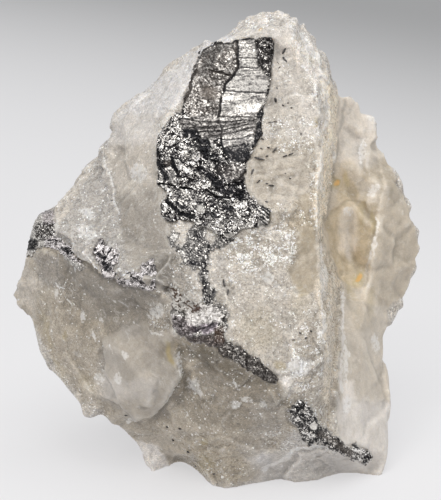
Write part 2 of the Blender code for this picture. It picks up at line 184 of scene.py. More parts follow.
# Drawing sheet
# Forms and colours of the front are drawn on a sheet through the specimen, in the pixels of a picture 441
# wide and 500 high, and land on the stone behind it along lines from the eye. The crystals' pockets, whose
# depths are given here in millimetres, are filled up first. A turned sheet has a turned eye.
PIXEL = 0.175 * MM
SHEET_MIDDLE = np.array((220.5, 250.0))
NEAREST_STONE = 50 * MM
POCKET_FLOOR = 0.4 * MM
POCKET_RIM = 3
SPREAD_ROUNDS = 14
STEPS_ASIDE = ((0, 1), (1, 0), (0, -1), (-1, 0))
CORNERS_MEET = 1e-6
JUST_INSIDE = 1.001
CRYSTAL_DEPTHS = {
    "wolframite_blade": 2.6, "wolframite_stringer": 1.8, "wolframite_knot": 2.0,
    "wolframite_ridge_bar": 2.0, "wolframite_corner_vein": 2.0, "wolframite_left_vein": 1.8,
    "wolframite_left_cluster": 1.8, "wolframite_centre_seam": 1.6,
}


def merged_copy(*names):
    """The frame's nodes in one mesh whose triangles share their corners."""
    shape = bmesh.new()
    for name in names:
        shape.from_mesh(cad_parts[name].data)
    bmesh.ops.remove_doubles(shape, verts=shape.verts[:], dist=CORNERS_MEET)
    return shape


def spread(values, known, rounds):
    """Fills the unknown cells of a grid from known ones beside them, a cell further each round."""
    values, known = values.copy(), known.copy()
    for _ in range(rounds):
        total, count = np.zeros_like(values), np.zeros_like(values)
        for shift in STEPS_ASIDE:
            beside = np.roll(known, shift, (0, 1))
            total += np.where(beside, np.roll(values, shift, (0, 1)), 0)
            count += beside
        fresh = ~known & (count > 0)
        values[fresh] = total[fresh] / count[fresh]
        known |= fresh
    return values, known


class Sheet:
    """A drawing sheet, and how far from its eye the stone lies behind each pixel, with its pockets filled.

    A pixel that sees a crystal's slab through its pocket is taken to lie on the stone's filled-up face."""

    def __init__(self, turn, left, top, right, bottom):
        turn = math.radians(turn)
        level = Vector((-math.sin(turn), math.cos(turn), 0))
        ahead = level * math.cos(EYE_TILT) - Vector((0, 0, math.sin(EYE_TILT)))
        across = Vector((math.cos(turn), math.sin(turn), 0))
        self.eye = np.array(AIM - ahead * EYE_DISTANCE)
        self.ahead, self.across = np.array(ahead), np.array(across)
        self.up = np.array(across.cross(ahead))
        self.corner = np.array((left, top), float)
        columns, rows = np.meshgrid(np.arange(left, right), np.arange(top, bottom))
        rays = self.rays(np.column_stack((columns.ravel(), rows.ravel())).astype(float))
        stone = merged_copy("quartz_matrix")
        stone_tree = BVHTree.FromBMesh(stone)
        stone.free()
        names = list(CRYSTAL_DEPTHS)
        crystals = [merged_copy(name) for name in names]
        ends = np.cumsum([len(crystal.faces) for crystal in crystals])
        joined = merged_copy(*names)
        crystal_tree = BVHTree.FromBMesh(joined)
        joined.free()
        source = Vector(self.eye)
        far, sunk = [], []
        for ray in rays:
            ray = Vector(ray)
            distance = stone_tree.ray_cast(source, ray)[3]
            face = crystal_tree.ray_cast(source, ray)[2]
            far.append(distance if distance else 0.0)
            sunk.append(-1 if face is None else int(np.searchsorted(ends, face, side="right")))
        shape = columns.shape
        far, sunk = np.array(far).reshape(shape), np.array(sunk).reshape(shape)
        depths = np.array([CRYSTAL_DEPTHS[name] for name in names]) * MM + POCKET_FLOOR
        in_pocket = sunk >= 0
        far = np.where(in_pocket, far - depths[sunk], far)
        widened = in_pocket.copy()
        for _ in range(POCKET_RIM):
            widened |= np.any([np.roll(widened, step, (0, 1)) for step in STEPS_ASIDE], axis=0)
        inner = in_pocket & np.all([np.roll(in_pocket, step, (0, 1)) for step in STEPS_ASIDE], axis=0)
        self.pocket, self.covered = widened, in_pocket
        far, known = spread(far, (far > NEAREST_STONE) & (inner | ~widened), SPREAD_ROUNDS)
        self.far = np.where(known, far, np.median(far[known]))
        for crystal in crystals:
            crystal.free()

    def rays(self, pixels):
        """Directions from the eye through pixels."""
        flat = (pixels - SHEET_MIDDLE) * (PIXEL, -PIXEL)
        rays = self.ahead * EYE_DISTANCE + flat[:, :1] * self.across + flat[:, 1:] * self.up
        return rays / np.linalg.norm(rays, axis=1)[:, None]

    def pixels(self, points):
        """Pixels in front of points, and the points' distances from the eye."""
        away = points - self.eye
        flat = np.column_stack((away @ self.across, -(away @ self.up)))
        flat = flat / (away @ self.ahead)[:, None]
        return flat * EYE_DISTANCE / PIXEL + SHEET_MIDDLE, np.linalg.norm(away, axis=1)

    def read(self, grid, pixels):
        """A grid's values at pixels, evened out between cells."""
        place_on = np.clip(pixels - self.corner, 0, np.array(grid.shape)[::-1] - JUST_INSIDE)
        cell = place_on.astype(int)
        x, y = (place_on - cell).T
        column, row = cell.T
        above = grid[row, column] * (1 - x) + grid[row, column + 1] * x
        below = grid[row + 1, column] * (1 - x) + grid[row + 1, column + 1] * x
        return above * (1 - y) + below * y

    def land(self, pixels, rise=0.0):
        """Points on the stone behind pixels, lifted towards the eye."""
        return self.eye + self.rays(pixels) * (self.read(self.far, pixels) - rise)[:, None]


front = Sheet(turn=0, left=0, top=0, right=441, bottom=500)
left_side = Sheet(turn=-40, left=20, top=200, right=180, bottom=320)


# Milky quartz
# One block of vein quartz, broken by hand: clear to milky, sugary in places, with conchoidal breaks, ledges
# and thin yellow-brown stains. The crystals' pockets are closed, because what grew in them fills them.
CELL_MIXER = np.array(((127.1, 269.5, 113.5), (311.7, 183.3, 271.9), (74.7, 246.1, 124.6)))
CELL_SCALE = 43758.5453
FARTHEST_CELL = 9.0
OWN_NUMBERS = 17.3
NEAR_CELLS = [np.array(step) for step in itertools.product((-1, 0, 1), repeat=3)]
CELL_CORNERS = [np.array(step) for step in itertools.product((0, 1), repeat=3)]


def cell_numbers(cells, seed):
    """Three random numbers from 0 to 1 for each cell, the same on every run."""
    scattered = np.sin(cells @ CELL_MIXER + seed) * CELL_SCALE
    return scattered - np.floor(scattered)


def waves(places, size, seed=0.0):
    """Smooth bumps of a size, from -1 to 1."""
    where_in = places / size
    cell = np.floor(where_in)
    share = where_in - cell
    share = share * share * (3 - 2 * share)
    total = np.zeros(len(places))
    for corner in CELL_CORNERS:
        weight = np.prod(np.where(corner, share, 1 - share), axis=1)
        total += weight * cell_numbers(cell + corner, seed)[:, 0]
    return total * 2 - 1


def layered(places, layers):
    """Waves of several sizes laid over one another (strength, size, seed)."""
    total = np.zeros(len(places))
    for strength, size, seed in layers:
        total += strength * waves(places, size, seed)
    return total


def wandering(places, layers, seeds):
    """Wavy shifts of places, one column for each seed (strength, size)."""
    columns = [layered(places, [(strength, size, seed) for strength, size in layers]) for seed in seeds]
    return np.column_stack(columns)


def grains(places, size, seed=0.0):
    """Grains of a size: height of each one's tilted face, three random numbers, and way to its border."""
    where_in = places / size
    cell = np.floor(where_in)
    nearest = np.full(len(places), FARTHEST_CELL)
    second = nearest.copy()
    centre, key = np.zeros_like(where_in), np.zeros_like(where_in)
    for step in NEAR_CELLS:
        there = cell + step
        middle = there + cell_numbers(there, seed)
        gap = ((where_in - middle) ** 2).sum(1)
        closer = gap < nearest
        second = np.where(closer, nearest, np.minimum(second, gap))
        nearest = np.where(closer, gap, nearest)
        centre[closer] = middle[closer]
        key[closer] = there[closer]
    numbers = cell_numbers(key, seed + OWN_NUMBERS)
    height = ((where_in - centre) * (numbers - 0.5)).sum(1) * size
    return height, numbers, (np.sqrt(second) - np.sqrt(nearest)) * size


def eased(value, low, high):
    """Zero below low, one above high and smooth between them."""
    share = np.clip((value - low) / (high - low), 0, 1)
    return share * share * (3 - 2 * share)


SHORTEST_SIDE = 1e-9
DAB_EDGE = (0.5, 1.3)
STROKE_EDGE = (0.4, 1.4)


def side_distance(pixels, start, end):
    """How far pixels are from a straight side, their ways from its start, and the side's own way."""
    side = np.array(end, float) - start
    away = pixels - start
    along = np.clip((away @ side) / max(side @ side, SHORTEST_SIDE), 0, 1)
    return np.linalg.norm(away - along[:, None] * side, axis=1), away, side


def outline_distance(pixels, outline):
    """How far pixels are inside a closed outline, in pixels; less than zero outside."""
    nearest = np.full(len(pixels), np.inf)
    odd = np.zeros(len(pixels), bool)
    for start, end in zip(outline, outline[1:] + outline[:1]):
        nearest = np.minimum(nearest, side_distance(pixels, start, end)[0])
        (ax, ay), (bx, by) = start, end
        if ay != by:
            crosses = (ay > pixels[:, 1]) != (by > pixels[:, 1])
            odd ^= crosses & (pixels[:, 0] < ax + (pixels[:, 1] - ay) * (bx - ax) / (by - ay))
    return np.where(odd, nearest, -nearest)


def line_distance(pixels, line):
    """How far pixels are from an open line."""
    return np.min([side_distance(pixels, start, end)[0] for start, end in zip(line, line[1:])], axis=0)


def dabs(pixels, spots):
    """Soft oval dabs (x, y, half width, half height, lean in degrees, strength); the strongest counts."""
    strongest = np.zeros(len(pixels))
    for x, y, wide, high, lean, strength in spots:
        lean = math.radians(lean)
        away = pixels - (x, y)
        along = (away[:, 0] * math.cos(lean) + away[:, 1] * math.sin(lean)) / wide
        over = (away[:, 1] * math.cos(lean) - away[:, 0] * math.sin(lean)) / high
        strongest = np.maximum(strongest, strength * (1 - eased(np.hypot(along, over), *DAB_EDGE)))
    return strongest


def strokes(pixels, lines):
    """Soft brush strokes (points, half width, strength)."""
    strongest = np.zeros(len(pixels))
    for line, wide, strength in lines:
        reached = 1 - eased(line_distance(pixels, line) / wide, *STROKE_EDGE)
        strongest = np.maximum(strongest, strength * reached)
    return strongest


def fields(pixels, areas):
    """Soft-edged areas (outline, softness, strength)."""
    strongest = np.zeros(len(pixels))
    for outline, soft, strength in areas:
        inside = eased(outline_distance(pixels, outline), -soft, soft)
        strongest = np.maximum(strongest, strength * inside)
    return strongest


class Look:
    """What a surface looks like at each pixel of the sheet: channels laid over one another."""

    def __init__(self, pixels, **channels):
        self.pixels = pixels
        self.channels = {name: np.full(len(pixels), float(value)) for name, value in channels.items()}

    def lay(self, share, **targets):
        """Draws channels towards their targets by a share."""
        for name, target in targets.items():
            self.channels[name] += (target - self.channels[name]) * share

    def area(self, outline, soft, **targets):
        """An area with an edge that is soft for some pixels on both sides."""
        self.lay(fields(self.pixels, [(outline, soft, 1)]), **targets)

    def line(self, points, wide, **targets):
        """A line with a half width in pixels."""
        self.lay(strokes(self.pixels, [(points, wide, 1)]), **targets)

    def spot(self, x, y, wide, high, lean=0, **targets):
        """An oval spot with its half width and half height."""
        self.lay(dabs(self.pixels, [(x, y, wide, high, lean, 1)]), **targets)


STONE_VOXEL = 0.34 * MM
POCKET_MARGIN = 0.5 * MM
POCKET_REACH = 4.0 * MM
HALF_COVERED = 0.5
stone_shape = merged_copy("quartz_matrix")
corners = np.array([vertex.co for vertex in stone_shape.verts])
seen = [(sheet, *sheet.pixels(corners)) for sheet in (front, left_side)]
for sheet, on_sheet, distance in seen:
    surface = sheet.read(sheet.far, on_sheet)
    sunk = sheet.read(sheet.pocket.astype(float), on_sheet) > HALF_COVERED
    sunk &= (distance > surface + POCKET_MARGIN) & (distance < surface + POCKET_REACH)
    corners[sunk] = sheet.land(on_sheet[sunk])
for vertex, corner in zip(stone_shape.verts, corners):
    vertex.co = corner
stone_mesh = bpy.data.meshes.new("milky_quartz")
stone_shape.to_mesh(stone_mesh)
stone_shape.free()
quartz = bpy.data.objects.new("milky_quartz", stone_mesh)
scene.collection.objects.link(quartz)
voxels = quartz.modifiers.new("even grid", "REMESH")
voxels.mode = "VOXEL"
voxels.voxel_size = STONE_VOXEL


def made_plain(thing):
    """Turns an object with modifiers into a plain mesh."""
    depsgraph = bpy.context.evaluated_depsgraph_get()
    mesh = bpy.data.meshes.new_from_object(thing.evaluated_get(depsgraph))
    thing.modifiers.clear()
    old = thing.data
    thing.data = mesh
    bpy.data.meshes.remove(old)
    mesh.name = thing.name
    return mesh


stone_mesh = made_plain(quartz)


def corners_of(mesh):
    """A mesh's corners, one to a row."""
    flat = np.empty(len(mesh.vertices) * 3, np.float32)
    mesh.vertices.foreach_get("co", flat)
    return flat.reshape(-1, 3).astype(float)


def normals_of(mesh):
    """The outward directions at a mesh's corners."""
    flat = np.empty(len(mesh.vertices) * 3, np.float32)
    mesh.vertex_normals.foreach_get("vector", flat)
    return flat.reshape(-1, 3).astype(float)


def move_corners(mesh, points):
    """Puts a mesh's corners at points."""
    mesh.vertices.foreach_set("co", points.astype(np.float32).ravel())
    mesh.update()


def edges_of(mesh):
    """The two corners of each edge."""
    flat = np.empty(len(mesh.edges) * 2, np.int32)
    mesh.edges.foreach_get("vertices", flat)
    return flat.reshape(-1, 2)


def beside_mean(values, edges, count):
    """The mean of each corner's neighbours."""
    total = np.zeros((count, values.shape[1]))
    many = np.zeros(count)
    for a, b in ((0, 1), (1, 0)):
        np.add.at(total, edges[:, a], values[edges[:, b]])
        np.add.at(many, edges[:, a], 1)
    return total / many[:, None]


def paint(mesh, name, values):
    """Keeps a value for each corner of a mesh, for its material."""
    layer = mesh.attributes.new(name, "FLOAT", "POINT")
    layer.data.foreach_set("value", values.astype(np.float32))


LEDGE_STEP = (-0.8, 1.2)
LEDGE_END = 0.7
PUSH_EDGE = (0.3, 1)
SMOOTH_SHARE = 0.6


def ledges(pixels, steps):
    """Crisp breaks (line, rise, reach): a step up on the right of a drawn line, fading behind it."""
    total = np.zeros(len(pixels))
    for line, rise, reach in steps:
        nearest = np.full(len(pixels), np.inf)
        signed = np.zeros(len(pixels))
        for start, end in zip(line, line[1:]):
            gap, away, side = side_distance(pixels, start, end)
            rightward = np.sign(away[:, 1] * side[0] - away[:, 0] * side[1])
            closer = gap < nearest
            nearest[closer] = gap[closer]
            signed[closer] = (gap * rightward)[closer]
        to_start = np.linalg.norm(pixels - line[0], axis=1)
        ends = np.minimum(to_start, np.linalg.norm(pixels - line[-1], axis=1))
        step = rise * eased(signed, *LEDGE_STEP) * (1 - eased(signed, 1, reach))
        total += step * eased(ends, 0, reach * LEDGE_END)
    return total


def pushed(points, sheet, pushes):
    """Points moved along the sheet to fill out its outline (x, y, reach, rightward, downward, in pixels)."""
    pixels, away = sheet.pixels(points)
    for x, y, reach, rightward, downward in pushes:
        share = 1 - eased(np.hypot(pixels[:, 0] - x, pixels[:, 1] - y) / reach, *PUSH_EDGE)
        shift = (rightward * sheet.across - downward * sheet.up) * PIXEL
        points = points + (share * away / EYE_DISTANCE)[:, None] * shift
    return points


def relaxed(points, edges, share=1):
    """Points moved part of the way to the mean of their neighbours."""
    return points + (beside_mean(points, edges, len(points)) - points) * share * SMOOTH_SHARE


# Chips are size, slope and seed, and waves are strength, size and seed, with sizes in millimetres. What
# wanders or warps takes its seeds by column.
SMOOTHING = 2
OUTLINE_PUSHES = [
    (270, 17, 20, 0, -8), (291, 21, 21, 2, -11), (402, 200, 48, 7, 0), (90, 409, 12, -2, 5),
    (46, 352, 40, -2, 1), (410, 238, 24, 11, 0), (413, 288, 24, -8, 0), (374, 124, 12, 3, 0),
    (380, 112, 9, -6, 4), (350, 105, 14, 3, -5), (379, 146, 10, -4, 0), (299, 25, 14, 3, -3),
    (315, 50, 20, 3, -2), (107, 144, 16, -6, -2), (296, 21, 8, 2, -5), (290, 24, 8, 1, -3),
    (20, 283, 7, -3, 0), (22, 303, 7, -2, 1),
]
WORN_NOTCH = (298, 24, 14)
WORN_EDGE = (0.4, 1)
NOTCH_ROUNDS = 20
NOTCH_PUSHES = [(295, 28, 13, 3, -5)]
STONE_CHIPS = [(5.2, 0.13, 3.1), (2.4, 0.1, 5.7), (1.2, 0.07, 8.9)]
CHIP_WARP = [(0.5, 1.7)]
WARP_SEEDS = (1.0, 2.0, 3.0)
LINE_WANDER = [(2.2, 2.6), (1.4, 0.9)]
WANDER_SEEDS = (11.0, 12.0)
FRONT_FADES = (3.0 * MM, 8.0 * MM)
ROLLING = [(0.12, 4.5, 4.4)]
BROKEN_EDGE = [
    (304, 30), (318, 58), (326, 85), (327, 112), (322, 150), (321, 190), (319, 240), (321, 290), (326, 350),
]
EDGE_BREAKS = [(0.35, 2.6, 101.0), (0.2, 1.1, 102.0)]
BREAK_WIDTH = 11
FOOT_HEIGHT = 0.05 * MM
LEDGES = [
    ([(52, 243), (64, 248), (73, 253), (85, 262), (94, 268), (103, 275), (118, 280), (140, 287),
      (154, 291)], -0.6, 12),
    ([(178, 340), (179, 375), (168, 400), (150, 416), (126, 421)], 0.9, 22),
    ([(100, 338), (104, 372), (118, 402)], -0.5, 14),
    ([(380, 150), (384, 186), (377, 218), (372, 250), (367, 290)], -0.25, 14),
    ([(368, 264), (373, 240), (375, 222), (366, 201), (345, 201), (330, 212)], 0.2, 14),
    ([(188, 368), (200, 402), (208, 398)], -0.4, 12),
    ([(343, 280), (340, 340), (336, 400), (334, 438)], -0.7, 12),
    ([(280, 480), (300, 452), (330, 446)], 0.5, 12), ([(104, 150), (112, 185), (118, 218)], 0.2, 10),
    ([(247, 196), (254, 176), (252, 160), (262, 148)], 0.15, 6),
    ([(306, 150), (298, 190), (288, 214)], 0.12, 8), ([(296, 205), (286, 232), (292, 262)], 0.25, 8),
    ([(391, 398), (372, 404), (350, 398)], 0.12, 10), ([(190, 438), (230, 436), (262, 452)], 0.3, 12),
    ([(60, 330), (76, 368), (98, 398)], 0.35, 12), ([(222, 262), (232, 278), (236, 300)], -0.3, 9),
    ([(98, 396), (116, 404), (138, 418)], -0.3, 9),
]

points = corners_of(stone_mesh)
edges = edges_of(stone_mesh)
foot = points[:, 2] < FOOT_HEIGHT
for _ in range(SMOOTHING):
    smoothed = relaxed(points, edges)
    smoothed[foot] = points[foot]
    points = smoothed
points = np.where(foot[:, None], points, pushed(points, front, OUTLINE_PUSHES))
pixels, _ = front.pixels(points)
x, y, reach = WORN_NOTCH
worn = 1 - eased(np.hypot(pixels[:, 0] - x, pixels[:, 1] - y) / reach, *WORN_EDGE)
for _ in range(NOTCH_ROUNDS):
    points = relaxed(points, edges, worn[:, None])
points = np.where(foot[:, None], points, pushed(points, front, NOTCH_PUSHES))
move_corners(stone_mesh, points)
normals = normals_of(stone_mesh)
places = points / MM
pixels, away = front.pixels(points)
in_front = 1 - eased(away - front.read(front.far, pixels), *FRONT_FADES)
drawn = pixels + wandering(places, LINE_WANDER, WANDER_SEEDS)
warped = places + wandering(places, CHIP_WARP, WARP_SEEDS)

# How the front is coloured, by area: outline, softness, tone (brightness), warmth (from grey to cream) and
# sugar (how granular it is), where None leaves what lies below. Shades change the tone by a share and add
# warmth. Sparkling areas add sugar. Spots are x, y, half width, half height and lean in degrees.
# The areas' outlines and sugar were chosen one by one. Their tones and warmths, and the shades, were not:
# they come from comparing mean colours of the photo and of a render, inside each area and in boxes.
AREAS = {
    "lower face": ([(34, 250), (52, 244), (64, 249), (73, 254), (85, 262), (94, 268), (103, 275),
      (118, 280), (165, 292), (172, 335), (230, 352), (285, 385), (300, 435), (345, 462), (372, 474),
      (300, 486), (195, 476), (152, 476), (108, 418), (40, 335), (8, 302), (20, 260)], 1.5, 0.389, 0.65,
      0.055),
    "under the lip": ([(56, 252), (73, 257), (85, 265), (94, 271), (103, 278), (118, 283), (150, 294),
      (170, 302), (172, 332), (146, 340), (112, 334), (90, 318), (66, 292)], 2.5, 0.3, 0.61, 0.05),
    "upper left face": ([(110, 125), (152, 116), (162, 150), (164, 215), (176, 240), (170, 292), (154, 289),
      (127, 282), (103, 273), (94, 266), (73, 251), (52, 238), (82, 188)], 1.5, 0.369, 0.24, 0.08),
    "dim part of it": ([(108, 150), (160, 145), (164, 215), (176, 240), (170, 291), (146, 286), (126, 262),
      (120, 216)], 3, 0.323, 0.42, 0.045),
    "top left slope": ([(225, 26), (200, 46), (165, 74), (130, 100), (110, 120), (152, 119), (178, 108),
      (188, 85), (200, 56), (235, 38), (262, 28)], 3, 0.594, 0.03, 0.06),
    "pale shoulder": ([(112, 116), (154, 110), (160, 136), (152, 158), (118, 150), (108, 138)], 7, 0.539,
      0.19, 0.05),
    "nose's edge": ([(34, 252), (60, 256), (66, 290), (40, 284)], 4, 0.291, 0.44, 0.06),
    "crown": ([(222, 30), (262, 8), (302, 14), (320, 36), (330, 80), (300, 84), (280, 40), (240, 37)], 4,
      0.508, 0.26, 0.08),
    "right of the blade": ([(262, 36), (300, 34), (326, 75), (326, 150), (256, 142), (264, 110), (274, 80)],
      5, 0.544, 0.32, 0.05),
    "warm middle": ([(248, 140), (326, 140), (318, 238), (272, 236), (262, 204), (244, 185)], 5, 0.416,
      0.58, 0.04),
    "below the blade": ([(222, 250), (262, 230), (300, 262), (320, 240), (322, 300), (302, 345), (280, 372),
      (232, 344), (216, 300)], 5, 0.473, 0.42, 0.07),
    "warm strip": ([(290, 205), (316, 185), (318, 290), (300, 298), (284, 262)], 2, 0.396, 0.81, 0.03),
    "right flank": ([(290, 345), (320, 300), (340, 300), (336, 430), (318, 428), (288, 396)], 4, 0.402,
      0.53, 0.16),
    "front edge": ([(320, 175), (330, 205), (322, 236), (344, 280), (341, 340), (337, 400), (334, 440),
      (322, 400), (326, 345), (316, 300), (317, 240)], 2, 0.561, 0.65, 0.08),
    "pale broken edge": ([(318, 50), (331, 84), (345, 97), (338, 150), (328, 200), (319, 238), (314, 200),
      (320, 150), (326, 110)], 3, 0.82, 0.7, 0.08),
    "rear lump": ([(338, 95), (352, 100), (371, 118), (386, 150), (395, 185), (412, 215), (420, 255),
      (405, 292), (384, 312), (346, 304), (343, 280), (322, 240), (328, 200), (338, 150)], 3, 0.575, 0.67,
      0.02),
    "rear hollow": ([(326, 218), (334, 206), (345, 201), (363, 200), (374, 212), (375, 226), (371, 244),
      (367, 262), (358, 286), (343, 280), (330, 250)], 1.5, 0.552, 1.0, 0.0),
    "hollow's top": ([(343, 168), (350, 176), (358, 192), (356, 202), (336, 206)], 2, 0.557, 1.0, None),
    "rear lump's side": ([(376, 148), (394, 178), (412, 215), (420, 255), (404, 292), (382, 310),
      (370, 290), (372, 262), (380, 218), (388, 185)], 2, 0.503, 0.66, 0.0),
    "low slab": ([(344, 300), (386, 306), (392, 350), (396, 400), (390, 476), (336, 476), (337, 400),
      (342, 340)], 2, 0.525, 0.51, 0.0),
    "rear lump's top": ([(338, 95), (352, 98), (374, 114), (380, 140), (388, 152), (374, 168), (350, 160),
      (338, 162)], 4, 0.652, 0.4, 0.02),
    "lit rear patch": ([(343, 208), (356, 206), (360, 222), (358, 240), (350, 262), (340, 250), (338, 226)],
      3, 0.708, 0.56, 0.0),
    "slab's foot": ([(336, 400), (394, 400), (390, 478), (370, 478), (340, 450)], 6, 0.607, 0.23, None),
    "nose": ([(12, 290), (26, 264), (42, 280), (36, 318)], 3, 0.478, 0.47, None),
    "lobe": ([(100, 338), (140, 322), (172, 334), (178, 375), (166, 405), (130, 421), (104, 400)], 2, 0.38,
      0.51, 0.01),
    "grey patch": ([(106, 148), (152, 142), (155, 186), (140, 196), (114, 192)], 6, 0.475, 0.39, 0.05),
    "pale crown edge": ([(302, 36), (317, 46), (325, 78), (312, 84), (303, 62)], 4, 0.714, 0.27, 0.1),
    "lobe's left": ([(94, 366), (104, 340), (118, 346), (124, 392), (104, 400)], 5, 0.404, 0.43, None),
    "lobe's middle": ([(134, 366), (160, 360), (168, 380), (152, 396), (136, 390)], 8, 0.415, 0.47, None),
    "lip's shadow": ([(62, 256), (85, 267), (104, 279), (150, 293), (166, 302), (160, 314), (118, 306),
      (90, 294), (66, 274)], 3, 0.255, 0.53, 0.05),
    "grey notch": ([(286, 363), (299, 356), (313, 361), (310, 374), (292, 379)], 2, 0.483, 0.16, None),
    "rear vein": ([(358, 136), (366, 138), (367, 166), (359, 170), (355, 152)], 3.5, 0.598, 0.3, None),
    "pale rear patch": ([(364, 182), (380, 180), (384, 198), (368, 203)], 5, 0.593, 0.54, None),
    "rear corner": ([(364, 108), (376, 114), (378, 126), (368, 130)], 5, 0.59, 0.21, None),
    "sugary foot": ([(254, 402), (272, 394), (290, 394), (300, 446), (278, 452), (262, 434), (266, 418)], 8,
      None, None, 0.13),
    "left foot": ([(36, 292), (74, 300), (84, 360), (106, 404), (84, 404), (44, 340)], 4, 0.373, 0.66,
      0.06),
    "dark middle": ([(178, 345), (225, 352), (284, 388), (290, 425), (250, 432), (200, 425), (172, 402)], 4,
      0.285, 0.74, 0.06),
    "pale foot": ([(276, 450), (292, 428), (330, 444), (372, 470), (300, 484), (250, 484), (258, 470),
      (248, 460), (262, 452)], 6, 0.513, 0.22, None),
    "warm foot": ([(180, 440), (208, 434), (232, 442), (226, 456), (246, 466), (238, 486), (190, 476)], 8,
      0.362, 0.8, 0.08),
    "bright corner": ([(136, 440), (158, 446), (178, 474), (150, 476)], 2, 0.718, 0.18, None),
    "granular patch": ([(245, 232), (296, 230), (292, 262), (250, 270), (226, 258)], 5, 0.387, 0.54, 0.28),
}
SHADES = [
    ([(143, 262), (156, 252), (176, 256), (190, 270), (200, 290), (186, 298), (172, 288), (156, 286)], 3,
      0.61, 0.08),
    ([(215, 256), (226, 258), (228, 290), (218, 292)], 3, 0.82, -0.05),
    ([(58, 266), (78, 268), (84, 312), (102, 330), (98, 352), (82, 344), (62, 316)], 4, 0.79, 0.06),
    ([(142, 304), (152, 300), (166, 304), (166, 318), (150, 322)], 4, 1.35, 0.0),
    ([(118, 322), (140, 320), (142, 336), (122, 340)], 4, 0.86, -0.1),
    # Painted shadow under the knot and the ridge bar
    ([(178, 340), (200, 346), (220, 352), (244, 370), (262, 384), (244, 384), (222, 380), (200, 360),
      (176, 354)], 3, 0.64, 0.2),
    # Painted shadow below the knot's left end
    ([(160, 342), (176, 340), (184, 352), (172, 358), (160, 356)], 3, 0.76, 0.25),
    ([(80, 384), (100, 378), (130, 380), (160, 380), (156, 398), (126, 402), (88, 402)], 4, 1.25, -0.16),
    ([(182, 364), (196, 360), (202, 376), (190, 384)], 4, 1.6, 0.0),
    ([(198, 378), (214, 380), (214, 398), (200, 396)], 4, 1.15, -0.1),
    ([(262, 98), (298, 100), (300, 138), (264, 140)], 6, 0.84, 0.1),
    ([(278, 42), (294, 36), (302, 50), (298, 64), (280, 60)], 4, 1.45, 0.0),
    ([(360, 142), (374, 140), (384, 156), (398, 184), (396, 202), (384, 198), (374, 180), (362, 178)], 3,
      0.78, 0.08),
    ([(364, 200), (378, 204), (378, 238), (364, 240)], 3, 0.78, 0.25),
    ([(258, 228), (284, 228), (282, 242), (262, 240)], 3, 1.32, -0.15),
    ([(278, 382), (292, 376), (300, 390), (288, 398)], 3, 1.38, -0.22),
    ([(340, 382), (354, 380), (356, 400), (342, 402)], 3, 1.36, -0.22),
    ([(318, 378), (334, 380), (334, 402), (320, 400)], 3, 1.12, 0.0),
    ([(260, 382), (276, 386), (278, 398), (262, 396)], 3, 1.13, 0.0),
    ([(280, 196), (300, 198), (300, 216), (282, 216)], 4, 1.1, -0.08),
    ([(298, 218), (316, 220), (316, 250), (300, 252)], 4, 0.88, 0.12),
    ([(248, 402), (276, 398), (288, 420), (280, 438), (252, 436)], 5, 1.18, -0.2),
    ([(238, 442), (266, 440), (272, 466), (246, 472)], 5, 1.07, -0.15),
    ([(350, 298), (372, 302), (372, 330), (352, 330)], 5, 0.93, 0.15),
    # Painted shadow under the knot
    ([(198, 344), (220, 348), (222, 360), (202, 360)], 2, 0.72, 0.3),
    ([(322, 456), (352, 464), (350, 476), (322, 472)], 3, 0.87, 0.0),
]
SPARKLING = [
    ([(292, 24), (312, 36), (324, 70), (324, 104), (312, 112), (304, 80), (292, 50)], 4, 0.18),
    ([(262, 116), (300, 112), (322, 122), (322, 150), (300, 158), (268, 150)], 5, 0.13),
    ([(308, 148), (322, 150), (321, 232), (311, 228)], 3, 0.16),
    ([(262, 204), (300, 200), (312, 226), (268, 230)], 4, 0.12),
    ([(228, 34), (262, 12), (280, 16), (268, 30)], 4, 0.16),
    ([(276, 68), (292, 66), (290, 84), (276, 86)], 4, 0.12),
    ([(230, 262), (252, 262), (246, 290), (226, 288)], 4, 0.14),
    ([(286, 376), (320, 366), (318, 396), (296, 398)], 4, 0.14),
    ([(52, 272), (80, 280), (84, 312), (60, 316)], 6, 0.075),
    ([(140, 300), (172, 304), (172, 330), (150, 334)], 5, 0.09),
]
GROWTH_LINED = [(250, 145), (302, 140), (306, 200), (298, 245), (268, 240), (256, 205)]
MILKY_SPOTS = [
    (300, 368, 13, 9, 0), (156, 313, 10, 7, -20), (160, 306, 6, 4, 0), (196, 388, 7, 14, -25),
    (118, 378, 5, 8, -15), (126, 354, 5, 6, 0), (99, 378, 7, 9, 0), (83, 316, 3, 9, 10),
    (101, 321, 3, 3, 0), (139, 174, 9, 12, 0), (86, 214, 10, 8, 0), (56, 293, 4, 5, 0),
    (347, 362, 3, 36, 0), (348, 404, 6, 10, 0), (371, 117, 6, 6, 40), (363, 152, 4.5, 15, 8),
    (373, 190, 8, 9, 20), (334, 152, 2.5, 16, -12), (349, 212, 6, 6, 0), (88, 256, 7, 8, 30),
    (320, 332, 5, 7, 0), (330, 360, 4, 6, 20), (268, 278, 7, 8, 0), (236, 405, 5, 5, 0),
    (262, 405, 8, 3, 60), (246, 398, 9, 3, 0), (375, 345, 5, 12, 0), (85, 232, 12, 10, 0),
    (52, 230, 6, 12, 30),
]
